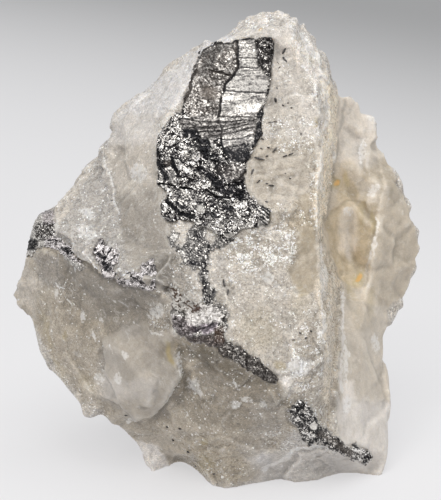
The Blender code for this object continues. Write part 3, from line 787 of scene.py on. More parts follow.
# Milky lines whiten streaks, steps and rims; the rim along the broken edge and the short strokes on the
# lower face are partly painted highlights
MILKY_LINES = [
    ([(300, 34), (318, 58), (326, 85), (327, 112), (322, 150), (321, 190)], 3),
    ([(344, 292), (344, 340), (341, 392)], 2),
    ([(179, 350), (179, 376), (168, 401), (150, 416), (128, 421)], 1.6),
    ([(262, 470), (300, 448), (330, 444)], 2.5), ([(378, 216), (376, 232), (372, 250), (368, 266)], 2),
    ([(104, 150), (112, 185), (118, 216)], 1.2), ([(75, 262), (76, 272)], 1.0),
    ([(56, 283), (62, 290)], 1.2), ([(66, 297), (71, 303), (70, 310)], 1.0), ([(97, 284), (104, 288)], 1.0),
    ([(109, 299), (116, 302)], 1.0), ([(122, 303), (130, 307)], 1.0), ([(92, 330), (95, 342)], 1.2),
    ([(108, 345), (112, 356)], 1.0), ([(132, 322), (140, 326)], 1.0), ([(150, 330), (162, 336)], 1.6),
    ([(232, 380), (238, 390)], 1.2), ([(220, 372), (228, 378)], 1.0),
    ([(74, 252), (86, 261), (95, 266)], 1.5), ([(322, 245), (322, 290), (326, 330)], 3),
]
# Painted shade along creases, steps and crevices, under the lip and under the ridge bar: line, half width
# and the share of tone left
CREASE_SHADE_LINES = [
    ([(345, 98), (338, 150), (329, 200), (321, 238), (343, 281), (341, 340), (337, 400), (335, 436)], 1.3,
      0.75),
    ([(66, 253), (76, 259), (88, 268), (98, 274), (108, 281), (128, 287), (160, 295)], 3, 0.8),
    ([(96, 285), (106, 300), (110, 330)], 6, 0.88),
    ([(372, 212), (374, 226), (370, 243), (365, 258)], 2.5, 0.82),
    ([(327, 218), (338, 252), (348, 272)], 2, 0.85), ([(180, 378), (172, 400), (154, 418)], 2.5, 0.8),
    ([(388, 310), (392, 350), (394, 395)], 2, 0.85), ([(230, 348), (262, 372), (284, 392)], 8, 0.85),
    ([(320, 180), (316, 215), (316, 240)], 2, 0.85),
]
YELLOW_SPOTS = [
    (335.5, 182, 3.2, 4.0, 0, 0.85), (359, 277, 3.6, 4.2, 20, 0.85), (335, 183, 6, 7, 0, 0.3),
    (359, 278, 7, 8, 0, 0.3), (315, 122, 3, 5, 0, 0.5), (260, 31, 1.8, 1.8, 0, 0.9),
    (171, 353, 3.2, 14, -24, 0.5), (280, 366, 8, 5, 30, 0.3), (204, 442, 4, 4, 0, 0.4),
    (205, 462, 9, 10, 0, 0.2), (64, 336, 3, 4, 0, 0.25), (60, 368, 4, 14, -25, 0.15),
    (48, 330, 4, 22, -15, 0.15), (352, 290, 4, 12, -15, 0.2), (258, 330, 22, 22, 0, 0.12),
    (300, 300, 12, 18, 0, 0.1), (312, 60, 3, 8, 0, 0.15), (372, 300, 4, 16, 0, 0.15),
    (362, 215, 4, 24, 10, 0.15), (88, 385, 6, 14, -35, 0.12), (346, 178, 3, 8, 0, 0.3),
    (373, 222, 2.5, 12, 5, 0.3),
]
CLOUD = [(1, 6.0, 21.0), (0.5, 2.5, 22.0)]
CLOUD_PALE = (-0.9, 0.9)
CLOUD_DARK = (0.1, 0.9)
MILK_OF_SPOTS = 0.55
MILK_OF_LINES = 0.6
BACK_PATCHES = [
    (9.0, 41.0, 0.1, 0.6, {"warmth": 0.7}), (7.0, 51.0, 0.1, 0.5, {"sugar": 0.14}),
    (4.0, 31.0, 0.5, 0.9, {"stain": 0.3}), (3.1, 33.0, 0.4, 0.8, {"milk": 0.4}),
]
cloud = layered(places, CLOUD)
look = Look(drawn, tone=0.5, warmth=0.35, sugar=0.08, milk=0.0, stain=0.0)
for outline, soft, *targets in AREAS.values():
    named = zip(("tone", "warmth", "sugar"), targets)
    look.area(outline, soft, **{name: target for name, target in named if target is not None})
for outline, soft, share, warmer in SHADES:
    inside = fields(drawn, [(outline, soft, 1)])
    look.channels["tone"] *= 1 + (share - 1) * inside
    look.channels["warmth"] = np.clip(look.channels["warmth"] + warmer * inside, 0, 1)
look.channels["sugar"] = np.maximum(look.channels["sugar"], fields(drawn, SPARKLING))
for x, y, wide, high, lean in MILKY_SPOTS:
    look.spot(x, y, wide, high, lean, milk=MILK_OF_SPOTS)
# Milky lines, partly painted highlights on rims and in short strokes
for line, wide in MILKY_LINES:
    look.line(line, wide, milk=MILK_OF_LINES)
# Painted shade along the creases darkens the tone
for line, wide, share in CREASE_SHADE_LINES:
    look.channels["tone"] *= 1 - strokes(drawn, [(line, wide, 1 - share)])
look.channels["stain"] = dabs(drawn, YELLOW_SPOTS)
behind = Look(drawn, tone=0.5, warmth=0.3, sugar=0.05, milk=0.0, stain=0.0)
behind.lay(eased(cloud, *CLOUD_PALE), tone=0.62, warmth=0.2)
behind.lay(eased(-cloud, *CLOUD_DARK), tone=0.36, warmth=0.45)
for size, seed, low, high, targets in BACK_PATCHES:
    behind.lay(eased(waves(places, size, seed), low, high), **targets)
channels = {name: behind.channels[name] + (look.channels[name] - behind.channels[name]) * in_front
            for name in look.channels}

# Sugary places break up into small chips, and clear ones into few smooth ones
GROWTH_ALONG = (0.02, 0.0)
GROWTH_ACROSS = (0.04, 0.3)
GROWTH_SIZE = 0.8
GROWTH_SEED = 95.0
GROWTH_RISE = 0.1
GROWTH_SOFT = 8
UNDER_CRYSTALS = 0.12
UNDER_FADES = (1.0 * MM, 2.0 * MM)
CLEAR_CHIPS = 0.15
SUGARY_CHIPS = (0.0, 0.09)
relief = layered(places, ROLLING) + ledges(drawn, LEDGES) * in_front
growth_places = np.column_stack((drawn @ GROWTH_ALONG, drawn @ GROWTH_ACROSS, np.zeros(len(drawn))))
growth_lines = waves(growth_places, GROWTH_SIZE, GROWTH_SEED)
relief += GROWTH_RISE * growth_lines * in_front * fields(drawn, [(GROWTH_LINED, GROWTH_SOFT, 1)])
broken_edge = in_front * strokes(drawn, [(BROKEN_EDGE, BREAK_WIDTH, 1)])
relief += broken_edge * layered(places, EDGE_BREAKS)
under_crystals = np.zeros(len(points))
for sheet in (front, left_side):
    on_sheet, distance = sheet.pixels(points)
    near = 1 - eased(np.abs(distance - sheet.read(sheet.far, on_sheet)), *UNDER_FADES)
    under_crystals = np.maximum(under_crystals, near * sheet.read(sheet.covered.astype(float), on_sheet))
chipped = CLEAR_CHIPS + (1 - CLEAR_CHIPS) * eased(channels["sugar"], *SUGARY_CHIPS)
for size, slope, seed in STONE_CHIPS:
    relief += grains(warped, size, seed)[0] * slope * chipped
relief += (-UNDER_CRYSTALS - relief) * under_crystals
relief[foot] = 0
points = points + normals * relief[:, None] * MM
points[:, 2] = np.maximum(points[:, 2], 0)
move_corners(stone_mesh, points)

# Painted shade darkens the hollows; ridges are painted paler, partly a painted glow of light through thin
# edges and partly whiter worn quartz; and each block of the stone has a tone of its own
EVEN_ROUNDS = 6
BLOCK_SIZE = 3.4
BLOCK_SEED = 91.0
BLOCK_TONE = 0.09
CLOUD_TONE = 0.05
HOLLOW_SHADE_SLOPE = 3
HOLLOW_SHADE_TONE = 0.18
RIDGE_SLOPE = 7
RIDGE_START = 0.25
evened = points
for _ in range(EVEN_ROUNDS):
    evened = beside_mean(evened, edges, len(points))
bend = ((points - evened) * normals_of(stone_mesh)).sum(1) / MM
block = grains(warped, BLOCK_SIZE, BLOCK_SEED)[1][:, 0] - 0.5
hollow_shade = np.clip(-bend * HOLLOW_SHADE_SLOPE, 0, HOLLOW_SHADE_TONE)
channels["tone"] *= (1 + BLOCK_TONE * block + CLOUD_TONE * cloud) * (1 - hollow_shade)
channels["edge"] = np.clip(bend * RIDGE_SLOPE - RIDGE_START, 0, 1)
channels["sugar"][foot] = 0
for name, value in channels.items():
    paint(stone_mesh, name, value)

# The side that the sheet doesn't reach takes fewer triangles
KEPT_OF_ALL = 0.55
BEHIND = 0.5


def thin_out(thing, chosen, share):
    """Leaves a share of all the triangles, by joining those of the chosen corners."""
    group = thing.vertex_groups.new(name="coarse")
    group.add(np.nonzero(chosen)[0].tolist(), 1.0, "REPLACE")
    fewer = thing.modifiers.new("fewer triangles", "DECIMATE")
    fewer.ratio = share
    fewer.vertex_group = group.name
    mesh = made_plain(thing)
    thing.vertex_groups.clear()
    return mesh


stone_mesh = thin_out(quartz, in_front < BEHIND, KEPT_OF_ALL)
points = corners_of(stone_mesh)
points[:, 2] = np.maximum(points[:, 2], 0)
move_corners(stone_mesh, points)


def new_group(name, inputs, outputs):
    """A shader group with named inputs (name, value) and outputs, and its input and output nodes."""
    group = bpy.data.node_groups.new(name, "ShaderNodeTree")
    for label, value in inputs:
        socket = group.interface.new_socket(label, in_out="INPUT", socket_type="NodeSocketFloat")
        socket.default_value = value
    for label in outputs:
        group.interface.new_socket(label, in_out="OUTPUT", socket_type="NodeSocketFloat")
    return group, group.nodes.new("NodeGroupInput"), group.nodes.new("NodeGroupOutput")


# Small grains, each with a tilted face of its own, which every material here has in its own size and slope
WARP_NOISE = {"Scale": 1100.0, "Detail": 2.0}
MIDDLE = (0.5, 0.5, 0.5)
grain_group, given, result = new_group(
    "crystal grain", [("Size in mm", 0.5), ("Slope", 0.3), ("Warp in mm", 0.0)],
    ["Height", "Number", "Second number"])
where = place(grain_group, "ShaderNodeTexCoord").outputs["Object"]
wave = place(grain_group, "ShaderNodeTexNoise", {"Vector": where, **WARP_NOISE}).outputs["Color"]
warp = calc(grain_group, "MULTIPLY", given.outputs["Warp in mm"], 2 * MM)
wave = vector_calc(grain_group, "SCALE", vector_calc(grain_group, "SUBTRACT", wave, MIDDLE), warp)
where = vector_calc(grain_group, "ADD", where, wave)
scale = calc(grain_group, "DIVIDE", 1 / MM, given.outputs["Size in mm"])
cells = place(grain_group, "ShaderNodeTexVoronoi", {"Vector": where, "Scale": scale})
tilt = vector_calc(grain_group, "SUBTRACT", cells.outputs["Color"], MIDDLE)
offset = vector_calc(grain_group, "SUBTRACT", where, cells.outputs["Position"])
climb = vector_calc(grain_group, "DOT_PRODUCT", tilt, offset)
numbers = place(grain_group, "ShaderNodeSeparateColor", {0: cells.outputs["Color"]})
grain_height = calc(grain_group, "MULTIPLY", climb, given.outputs["Slope"])
grain_group.links.new(grain_height, result.inputs["Height"])
grain_group.links.new(numbers.outputs[0], result.inputs["Number"])
grain_group.links.new(numbers.outputs[1], result.inputs["Second number"])


def grain_of(tree, size, slope, warp=0.0):
    """The grain group placed in a material."""
    node = place(tree, "ShaderNodeGroup", node_tree=grain_group)
    set_inputs(node, {"Size in mm": size, "Slope": slope, "Warp in mm": warp})
    return node


def painted(tree, name):
    """A value that was painted on the mesh."""
    return place(tree, "ShaderNodeAttribute", attribute_name=name).outputs["Fac"]


def bumped(tree, shader, height):
    """Joins a height to a shader's Normal."""
    bump = place(tree, "ShaderNodeBump", {"Height": height, "Distance": 1.0, "Strength": 1.0})
    tree.links.new(bump.outputs["Normal"], shader.inputs["Normal"])


# Values with four numbers are a range of what is read, and the range that it is taken to
GREY_TINT = (1.0, 0.958, 0.932)
CREAM_TINT = (1.0, 0.825, 0.58)
MILKY_WHITE = (0.78, 0.765, 0.745)
FLECK_AND_GLINT_WHITE = (0.93, 0.925, 0.91)
STAIN_OLIVE = (0.40, 0.31, 0.10)
STAIN_ORANGE = (0.66, 0.38, 0.09)
STAIN_DEPTHS = (0.4, 0.9)
VEIL = {"Scale": 420.0, "Detail": 5.0, "Roughness": 0.55}
VEIL_TONES = (0.36, 0.66, 0.95, 1.05)
CLUMPS = {"Scale": 620.0, "Detail": 2.0, "Roughness": 0.5}
GRANULAR = (0.015, 0.07, 0.45, 1.6)
SPECK_TONE = 0.32
FLAKE_TONE = 0.14
CHIP_TONE = 0.06
WISPS = {"Scale": 300.0, "Detail": 3.0, "Roughness": 0.5, "Distortion": 1.2}
WISP_WIDTHS = (0.0, 0.022, 0.22, 0.0)
WISP_CLUMPS = (0.45, 0.65)
FROST = {"Scale": 1500.0, "Detail": 4.0, "Roughness": 0.72}
FROST_SHARES = (0.50, 0.62, 0.0, 0.42)
FROST_ON_SUGAR = (0.0, 0.2, 0.2, 1.0)
FROST_CLUMPS = (0.4, 0.58, 0.3, 1.0)
MILK_RAGGEDNESS = 4.0
MILK_SHARES = (0.25, 0.6, 0.0, 0.55)
RIDGE_GLOW_AND_WEAR = 0.2
CLEAR_SUGAR = 0.03
SPARK_CLUMPS = (0.42, 0.6, 0.05, 2.2)
SPARK_FADE = 0.02
FLAKE_SPARKS = (0.4, 0.6)
SPECK_SPARKS = (0.6, 0.85)
BROKEN_UP = (0.01, 0.12)
BROKEN_BUMP = 0.8
STONE_ROUGHNESS = (0.0, 1.0, 0.34, 0.18)
FLAKE_ROUGHNESS = (0.0, 1.0, 0.0, 0.2)
QUARTZ_IOR = 1.544
QUARTZ_SURFACE = {
    "Subsurface Weight": 0.5, "Subsurface Radius": (1.0, 0.88, 0.7), "Subsurface Scale": 1.2 * MM,
    "IOR": QUARTZ_IOR, "Specular IOR Level": 0.5,
}
material, tree, shader = new_material("milky_quartz")
speck = grain_of(tree, size=0.17, slope=0.40)
flake = grain_of(tree, size=0.36, slope=0.32, warp=0.2)
chip = grain_of(tree, size=1.2, slope=0.20, warp=0.6)
where = place(tree, "ShaderNodeTexCoord").outputs["Object"]
veil, clumps, frost, wisps = [
    place(tree, "ShaderNodeTexNoise", {"Vector": where, **noise}).outputs["Fac"]
    for noise in (VEIL, CLUMPS, FROST, WISPS)]

tone = calc(tree, "MULTIPLY", painted(tree, "tone"), ranged(tree, veil, *VEIL_TONES))
granular = ranged(tree, painted(tree, "sugar"), *GRANULAR)
for grain, strength in ((speck, SPECK_TONE), (flake, FLAKE_TONE), (chip, CHIP_TONE)):
    change = calc(tree, "MULTIPLY", calc(tree, "SUBTRACT", grain.outputs["Number"], 0.5), strength)
    tone = calc(tree, "MULTIPLY", tone, calc(tree, "MULTIPLY_ADD", change, granular, 1.0))
colour = vector_calc(tree, "SCALE", mixed(tree, painted(tree, "warmth"), GREY_TINT, CREAM_TINT), tone)
stain_colour = mixed(tree, ranged(tree, painted(tree, "stain"), *STAIN_DEPTHS), STAIN_OLIVE, STAIN_ORANGE)
colour = mixed(tree, painted(tree, "stain"), colour, stain_colour)

off_middle = calc(tree, "ABSOLUTE", calc(tree, "SUBTRACT", wisps, 0.5))
wisp = calc(tree, "MULTIPLY", ranged(tree, off_middle, *WISP_WIDTHS), ranged(tree, clumps, *WISP_CLUMPS))
colour = mixed(tree, wisp, colour, MILKY_WHITE)
frost_where = calc(tree, "MULTIPLY", ranged(tree, painted(tree, "sugar"), *FROST_ON_SUGAR),
                   ranged(tree, clumps, *FROST_CLUMPS))
frosted = calc(tree, "MULTIPLY", ranged(tree, frost, *FROST_SHARES), frost_where)
colour = mixed(tree, frosted, colour, MILKY_WHITE)
ragged = calc(tree, "MULTIPLY_ADD", calc(tree, "SUBTRACT", frost, 0.5), MILK_RAGGEDNESS, 1.0)
milky = ranged(tree, calc(tree, "MULTIPLY", painted(tree, "milk"), ragged), *MILK_SHARES)
colour = mixed(tree, milky, colour, MILKY_WHITE)
# Ridges are painted paler: partly a painted glow of light through thin edges, partly whiter worn quartz
colour = mixed(tree, calc(tree, "MULTIPLY", painted(tree, "edge"), RIDGE_GLOW_AND_WEAR), colour, MILKY_WHITE)

# Pale specks where the stone is sugary: partly white flecks of broken quartz, partly painted glints
sugar = calc(tree, "MAXIMUM", calc(tree, "SUBTRACT", painted(tree, "sugar"), CLEAR_SUGAR), 0.0)
sugar = calc(tree, "MULTIPLY", sugar, ranged(tree, clumps, *SPARK_CLUMPS))
for grain, (share, strength) in ((flake, FLAKE_SPARKS), (speck, SPECK_SPARKS)):
    start = calc(tree, "SUBTRACT", 1.0, calc(tree, "MULTIPLY", sugar, share))
    end = calc(tree, "ADD", start, SPARK_FADE)
    mask = ranged(tree, grain.outputs["Second number"], start, end, 0.0, strength)
    colour = mixed(tree, mask, colour, FLECK_AND_GLINT_WHITE)
tree.links.new(colour, shader.inputs["Base Color"])

broken_up = ranged(tree, painted(tree, "sugar"), *BROKEN_UP)
height = calc(tree, "ADD", speck.outputs["Height"], flake.outputs["Height"])
share = calc(tree, "MULTIPLY_ADD", broken_up, BROKEN_BUMP, 1 - BROKEN_BUMP)
height = calc(tree, "ADD", calc(tree, "MULTIPLY", height, share), chip.outputs["Height"])
bumped(tree, shader, height)
roughness = calc(tree, "ADD", ranged(tree, broken_up, *STONE_ROUGHNESS),
                 ranged(tree, flake.outputs["Number"], *FLAKE_ROUGHNESS))
tree.links.new(roughness, shader.inputs["Roughness"])
set_inputs(shader, QUARTZ_SURFACE)
stone_mesh.materials.clear()
stone_mesh.materials.append(material)
stone_mesh.shade_smooth()
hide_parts("quartz_matrix")
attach(quartz, "root")


# Sugary quartz grains
# Small grains of clear quartz, a tenth to a quarter of a millimetre wide, that a break leaves standing on
# the sugary faces, where they catch the light. They lie the closer the more sugary the stone is.
def new_geometry_tree(name, inputs):
    """A Geometry Nodes tree with named inputs (name, kind, value), and its input and output nodes."""
    group = bpy.data.node_groups.new(name, "GeometryNodeTree")
    group.interface.new_socket("Geometry", in_out="INPUT", socket_type="NodeSocketGeometry")
    for label, kind, value in inputs:
        socket = group.interface.new_socket(label, in_out="INPUT", socket_type=kind)
        if value is not None:
            socket.default_value = value
    group.interface.new_socket("Geometry", in_out="OUTPUT", socket_type="NodeSocketGeometry")
    return group, group.nodes.new("NodeGroupInput"), group.nodes.new("NodeGroupOutput")


def grown(name, mesh, group, values):
    """A plain object that a Geometry Nodes tree makes of a mesh, with values for its named inputs."""
    thing = bpy.data.objects.new(name, mesh.copy())
    scene.collection.objects.link(thing)
    growth = thing.modifiers.new(group.name, "NODES")
    growth.node_group = group
    for item in group.interface.items_tree:
        if item.in_out == "INPUT" and item.name in values:
            growth[item.identifier] = values[item.name]
    made_plain(thing)
    return thing


def named_value(group, name, kind="FLOAT"):
    """A value that was painted on the mesh, in a Geometry Nodes tree."""
    node = place(group, "GeometryNodeInputNamedAttribute", {"Name": name}, data_type=kind)
    return node.outputs["Attribute"]


CLEAR_BELOW = 0.045
SQUARE_METRE = 1e6
FULL_TURN = (6.28, 6.28, 6.28)
FLATTEST = (0.55, 0.55, 0.4)
ROUNDEST = (1.0, 1.0, 1.0)
SHAPE_SEED = 3
WIDTH_SEED = 5
DIM_GRAIN = (0.62, 0.60, 0.57)
PALE_GRAIN = (0.95, 0.945, 0.93)
GRAIN_SURFACE = {"Roughness": 0.16, "IOR": QUARTZ_IOR, "Specular IOR Level": 0.9}
scatter, given, result = new_geometry_tree("grains on a face", [
    ("Grains per square mm", "NodeSocketFloat", 1.0), ("Smallest in mm", "NodeSocketFloat", 0.15),
    ("Largest in mm", "NodeSocketFloat", 0.35), ("Seed", "NodeSocketInt", 1),
    ("Material", "NodeSocketMaterial", None)])
sugary = calc(scatter, "SUBTRACT", named_value(scatter, "sugar"), CLEAR_BELOW)
sugary = calc(scatter, "MAXIMUM", sugary, 0.0)
per_square_mm = calc(scatter, "MULTIPLY", sugary, given.outputs["Grains per square mm"])
density = calc(scatter, "MULTIPLY", per_square_mm, SQUARE_METRE)
on_faces = place(scatter, "GeometryNodeDistributePointsOnFaces",
                 {"Mesh": given.outputs["Geometry"], "Density": density, "Seed": given.outputs["Seed"]})
grain_shape = place(scatter, "GeometryNodeMeshIcoSphere", {"Radius": 0.5 * MM, "Subdivisions": 1})
grain_turns = place(scatter, "FunctionNodeRandomValue", {"Min": (0, 0, 0), "Max": FULL_TURN},
                    data_type="FLOAT_VECTOR")
grain_shapes = place(scatter, "FunctionNodeRandomValue",
                     {"Min": FLATTEST, "Max": ROUNDEST, "Seed": SHAPE_SEED}, data_type="FLOAT_VECTOR")
grain_widths = place(scatter, "FunctionNodeRandomValue", {"Seed": WIDTH_SEED}, data_type="FLOAT")
scatter.links.new(given.outputs["Smallest in mm"], grain_widths.inputs[2])
scatter.links.new(given.outputs["Largest in mm"], grain_widths.inputs[3])
grain_sizes = vector_calc(scatter, "SCALE", grain_shapes.outputs[0], grain_widths.outputs[1])
placed = place(scatter, "GeometryNodeInstanceOnPoints",
               {"Points": on_faces.outputs["Points"], "Instance": grain_shape.outputs["Mesh"],
                "Rotation": grain_turns.outputs[0], "Scale": grain_sizes})
realized = place(scatter, "GeometryNodeRealizeInstances", {0: placed.outputs[0]})
flat = place(scatter, "GeometryNodeSetShadeSmooth",
             {"Geometry": realized.outputs[0], "Shade Smooth": False})
dressed = place(scatter, "GeometryNodeSetMaterial",
                {"Geometry": flat.outputs[0], "Material": given.outputs["Material"]})
scatter.links.new(dressed.outputs[0], result.inputs[0])

clear_grains, tree, shader = new_material("clear_quartz_grains")
tint = grain_of(tree, size=0.6, slope=0.0)
colour = mixed(tree, tint.outputs["Number"], DIM_GRAIN, PALE_GRAIN)
tree.links.new(colour, shader.inputs["Base Color"])
set_inputs(shader, GRAIN_SURFACE)
sugar_grains = grown("sugary_quartz_grains", stone_mesh, scatter, {
    "Grains per square mm": 7.0, "Smallest in mm": 0.1, "Largest in mm": 0.27, "Seed": 4,
    "Material": clear_grains})
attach(sugar_grains, "root")


# Wolframite blade
# The large tabular crystal group on the upper front: a bright striated cleavage face, a dull platy part on
# its left, a black corner and a mass of small cleaved grains under it. It grew in the quartz and stands
# proud of it.
GRID = 0.5
GRID_MARGIN = 2
SKIRT = (-1.0, 0.7)
SKIRT_DROP = 0.6
SLAB = 1.0
KEPT_OF_SLAB = 0.6
RIM_WANDER = [(1, 1.1), (0.6, 0.4)]
RIM_SEEDS = (61.0, 62.0)
RAGGED = 1.1
LOOK_WANDER = 0.5
GRAIN_WANDER = 1.5
GAPS = [(0.8, 0.55, 65.0), (0.8, 0.26, 66.0)]
GAP_START = 0.35
COARSE_SIZE = 0.72
COARSE_SLOPE = 0.75
COARSE_SEED = 71.0
FINE_SIZE = 0.30
FINE_SLOPE = 0.85
FINE_SEED = 73.0
GRAIN_STEP = 0.25
CLEFT_WIDTH = (0.02, 0.16)
CLEFT_DEPTH = 0.15
QUARTZ_RIM = (0.0, 1.2)
TONE_SPREAD = 1.8
TONE_LIMITS = (-0.6, 1.35)
CRYSTAL_CHANNELS = {
    "tone": 0.4, "contrast": 1.0, "coarse": 0.45, "relief": 1.0, "lift": 0.0, "cleft": 0.0,
    "quartz": 0.0, "rust": 0.0, "brown": 0.0, "violet": 0.0,
}


def turned_grid(pixels, lean, stretch):
    """Places on the sheet in millimetres, with grains drawn out along a lean in degrees."""
    lean = math.radians(lean)
    flat = pixels * PIXEL / MM
    along = flat[:, 0] * math.cos(lean) + flat[:, 1] * math.sin(lean)
    over = flat[:, 1] * math.cos(lean) - flat[:, 0] * math.sin(lean)
    return np.column_stack((along / stretch, over, np.zeros(len(flat))))


def drawn_out(pixels, lean, stretch, size, seed):
    """Waves on the sheet, drawn out along a lean in degrees."""
    return waves(turned_grid(pixels, lean, stretch), size, seed)


def closed_slab(name, quads, top, under):
    """A closed mesh with a top, an underside and walls between their rims."""
    count = len(top)
    sides = np.concatenate([quads[:, [i, (i + 1) % 4]] for i in range(4)])
    there, back = sides @ (count, 1), sides[:, ::-1] @ (count, 1)
    rim = sides[~np.isin(there, back)]
    walls = np.column_stack((rim[:, 1], rim[:, 0], rim[:, 0] + count, rim[:, 1] + count))
    faces = np.concatenate((quads, quads[:, ::-1] + count, walls))
    mesh = bpy.data.meshes.new(name)
    mesh.from_pydata(np.concatenate((top, under)).tolist(), [], faces.tolist())
    mesh.shade_smooth()
    return mesh


def grow_crystals(name, node, sheet, outline, look_of, rise, lean, stretch, broken, grain=1.0):
    """A crystal group as one closed slab that stands out of the stone, on a fine grid of the sheet.

    Its grains are drawn out along a lean in degrees by a stretch. Broken, in pixels, is how far quartz
    reaches in between them, and grain is how large they are."""
    outline_array = np.array(outline, float)
    low = outline_array.min(0) + SKIRT[0] - GRID_MARGIN
    high = outline_array.max(0) - SKIRT[0] + GRID_MARGIN
    columns = np.arange(low[0], high[0], GRID)
    rows = np.arange(low[1], high[1], GRID)
    pixels = np.stack(np.meshgrid(columns, rows), axis=-1).reshape(-1, 2)
    wander = wandering(turned_grid(pixels, 0, 1), RIM_WANDER, RIM_SEEDS)
    gaps = layered(turned_grid(pixels, lean, stretch), GAPS)
    inward = outline_distance(pixels + wander * RAGGED, outline) + broken * (gaps - GAP_START)
    kept = inward > SKIRT[0]
    corner = np.arange(len(pixels)).reshape(len(rows), len(columns))
    quads = np.stack((corner[:-1, :-1], corner[1:, :-1], corner[1:, 1:], corner[:-1, 1:]), axis=-1)
    quads = quads.reshape(-1, 4)
    quads = quads[kept[quads].all(axis=1)]
    used = np.unique(quads)
    renumbered = np.zeros(len(pixels), int)
    renumbered[used] = np.arange(len(used))
    quads = renumbered[quads]
    pixels, inward, wander = pixels[used], inward[used], wander[used]

    look = look_of(Look(pixels + wander * LOOK_WANDER, **CRYSTAL_CHANNELS))
    grain_places = turned_grid(pixels + wander * GRAIN_WANDER, lean, stretch) / grain
    coarse, coarse_numbers, border = grains(grain_places, COARSE_SIZE, COARSE_SEED)
    fine, fine_numbers, _ = grains(grain_places, FINE_SIZE, FINE_SEED)
    cleft = look["cleft"] * (1 - eased(border, *CLEFT_WIDTH))
    look["quartz"] = np.maximum(look["quartz"], (1 - eased(inward, *QUARTZ_RIM)) * (broken > 1))
    number = fine_numbers[:, 0] + look["coarse"] * (coarse_numbers[:, 0] - fine_numbers[:, 0])
    tone = look["tone"] + look["contrast"] * (number - 0.5) * TONE_SPREAD
    tone = np.clip(tone, *TONE_LIMITS) - cleft
    look["quartz"] = look["quartz"] * (1 - cleft)
    bumps = coarse * COARSE_SLOPE + fine * FINE_SLOPE + (number - 0.5) * GRAIN_STEP
    height = rise + look["lift"] + look["relief"] * bumps * grain - cleft * CLEFT_DEPTH
    height = -SKIRT_DROP + (height + SKIRT_DROP) * eased(inward, *SKIRT)

    mesh = closed_slab(name, quads, sheet.land(pixels, height * MM), sheet.land(pixels, -SLAB * MM))
    piece = bpy.data.objects.new(name, mesh)
    scene.collection.objects.link(piece)
    paint(mesh, "tone", np.tile(tone, 2))
    for channel in ("quartz", "rust", "brown", "violet"):
        paint(mesh, channel, np.tile(look[channel], 2))
    paint(mesh, "grainy", np.tile(np.clip(look["contrast"], 0, 1), 2))
    mesh.materials.append(wolframite)
    count = len(pixels)
    thin_out(piece, np.arange(2 * count) >= count, KEPT_OF_SLAB)
    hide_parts(node)
    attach(piece, "root")


IRON_BLACK = (0.018, 0.018, 0.02)
STEEL_GREY = (0.205, 0.193, 0.186)
SILVER = (0.80, 0.765, 0.715)
SHEEN_WHITE = (0.97, 0.945, 0.92)
DULL_BROWN = (0.20, 0.17, 0.145)
RUST = (0.13, 0.065, 0.03)
GRAIN_WHITE = (0.50, 0.475, 0.44)
VIOLET_TINT = (0.93, 0.86, 1.0)
GREY_TONES = (0.0, 0.5)
SILVER_TONES = (0.45, 1.0)
SHEEN_TONES = (0.95, 1.35)
LEAST_SPARKLE = 0.2
MORE_SPARKLE = 1.35
GLINTS = (0.90, 0.95)
GLINT_TONE = 0.6
METAL = 0.92
LESS_METAL_IN_SHEEN = 0.5
CRYSTAL_ROUGHNESS = (0.1, 0.8, 0.52, 0.27)
GRAINY_BUMP = 0.9
SMOOTH_BUMP = 0.1
wolframite, tree, shader = new_material("wolframite")
fine = grain_of(tree, size=0.2, slope=1.0)
grainy = painted(tree, "grainy")
sparkle = calc(tree, "SUBTRACT", fine.outputs["Number"], 0.5)
sparkle = calc(tree, "MULTIPLY", sparkle, calc(tree, "MULTIPLY_ADD", grainy, MORE_SPARKLE, LEAST_SPARKLE))
# Painted glints: a few grains get a higher tone, which turns them white below
glint = calc(tree, "MULTIPLY", ranged(tree, fine.outputs["Second number"], *GLINTS), grainy)
tone = calc(tree, "ADD", painted(tree, "tone"), sparkle)
tone = calc(tree, "MULTIPLY_ADD", glint, GLINT_TONE, tone)
dark_half = mixed(tree, ranged(tree, tone, *GREY_TONES), IRON_BLACK, STEEL_GREY)
colour = mixed(tree, ranged(tree, tone, *SILVER_TONES), dark_half, SILVER)
# Painted highlights: the brightest tones turn white and less metallic, standing in for the lamps' reflection
# on bright grains
sheen = ranged(tree, tone, *SHEEN_TONES)
colour = mixed(tree, sheen, colour, SHEEN_WHITE)
colour = mixed(tree, painted(tree, "brown"), colour, DULL_BROWN)
colour = mixed(tree, painted(tree, "rust"), colour, RUST)
colour = mixed(tree, painted(tree, "quartz"), colour, GRAIN_WHITE)
tinted = vector_calc(tree, "MULTIPLY", colour, VIOLET_TINT)
colour = mixed(tree, painted(tree, "violet"), colour, tinted)
tree.links.new(colour, shader.inputs["Base Color"])
metal = calc(tree, "SUBTRACT", METAL, calc(tree, "ADD", painted(tree, "quartz"), painted(tree, "rust")))
metal = calc(tree, "SUBTRACT", metal, calc(tree, "MULTIPLY", sheen, LESS_METAL_IN_SHEEN))
tree.links.new(calc(tree, "MAXIMUM", metal, 0.0), shader.inputs["Metallic"])
tree.links.new(ranged(tree, grainy, *CRYSTAL_ROUGHNESS), shader.inputs["Roughness"])
share = calc(tree, "MULTIPLY_ADD", grainy, GRAINY_BUMP, SMOOTH_BUMP)
bumped(tree, shader, calc(tree, "MULTIPLY", fine.outputs["Height"], share))

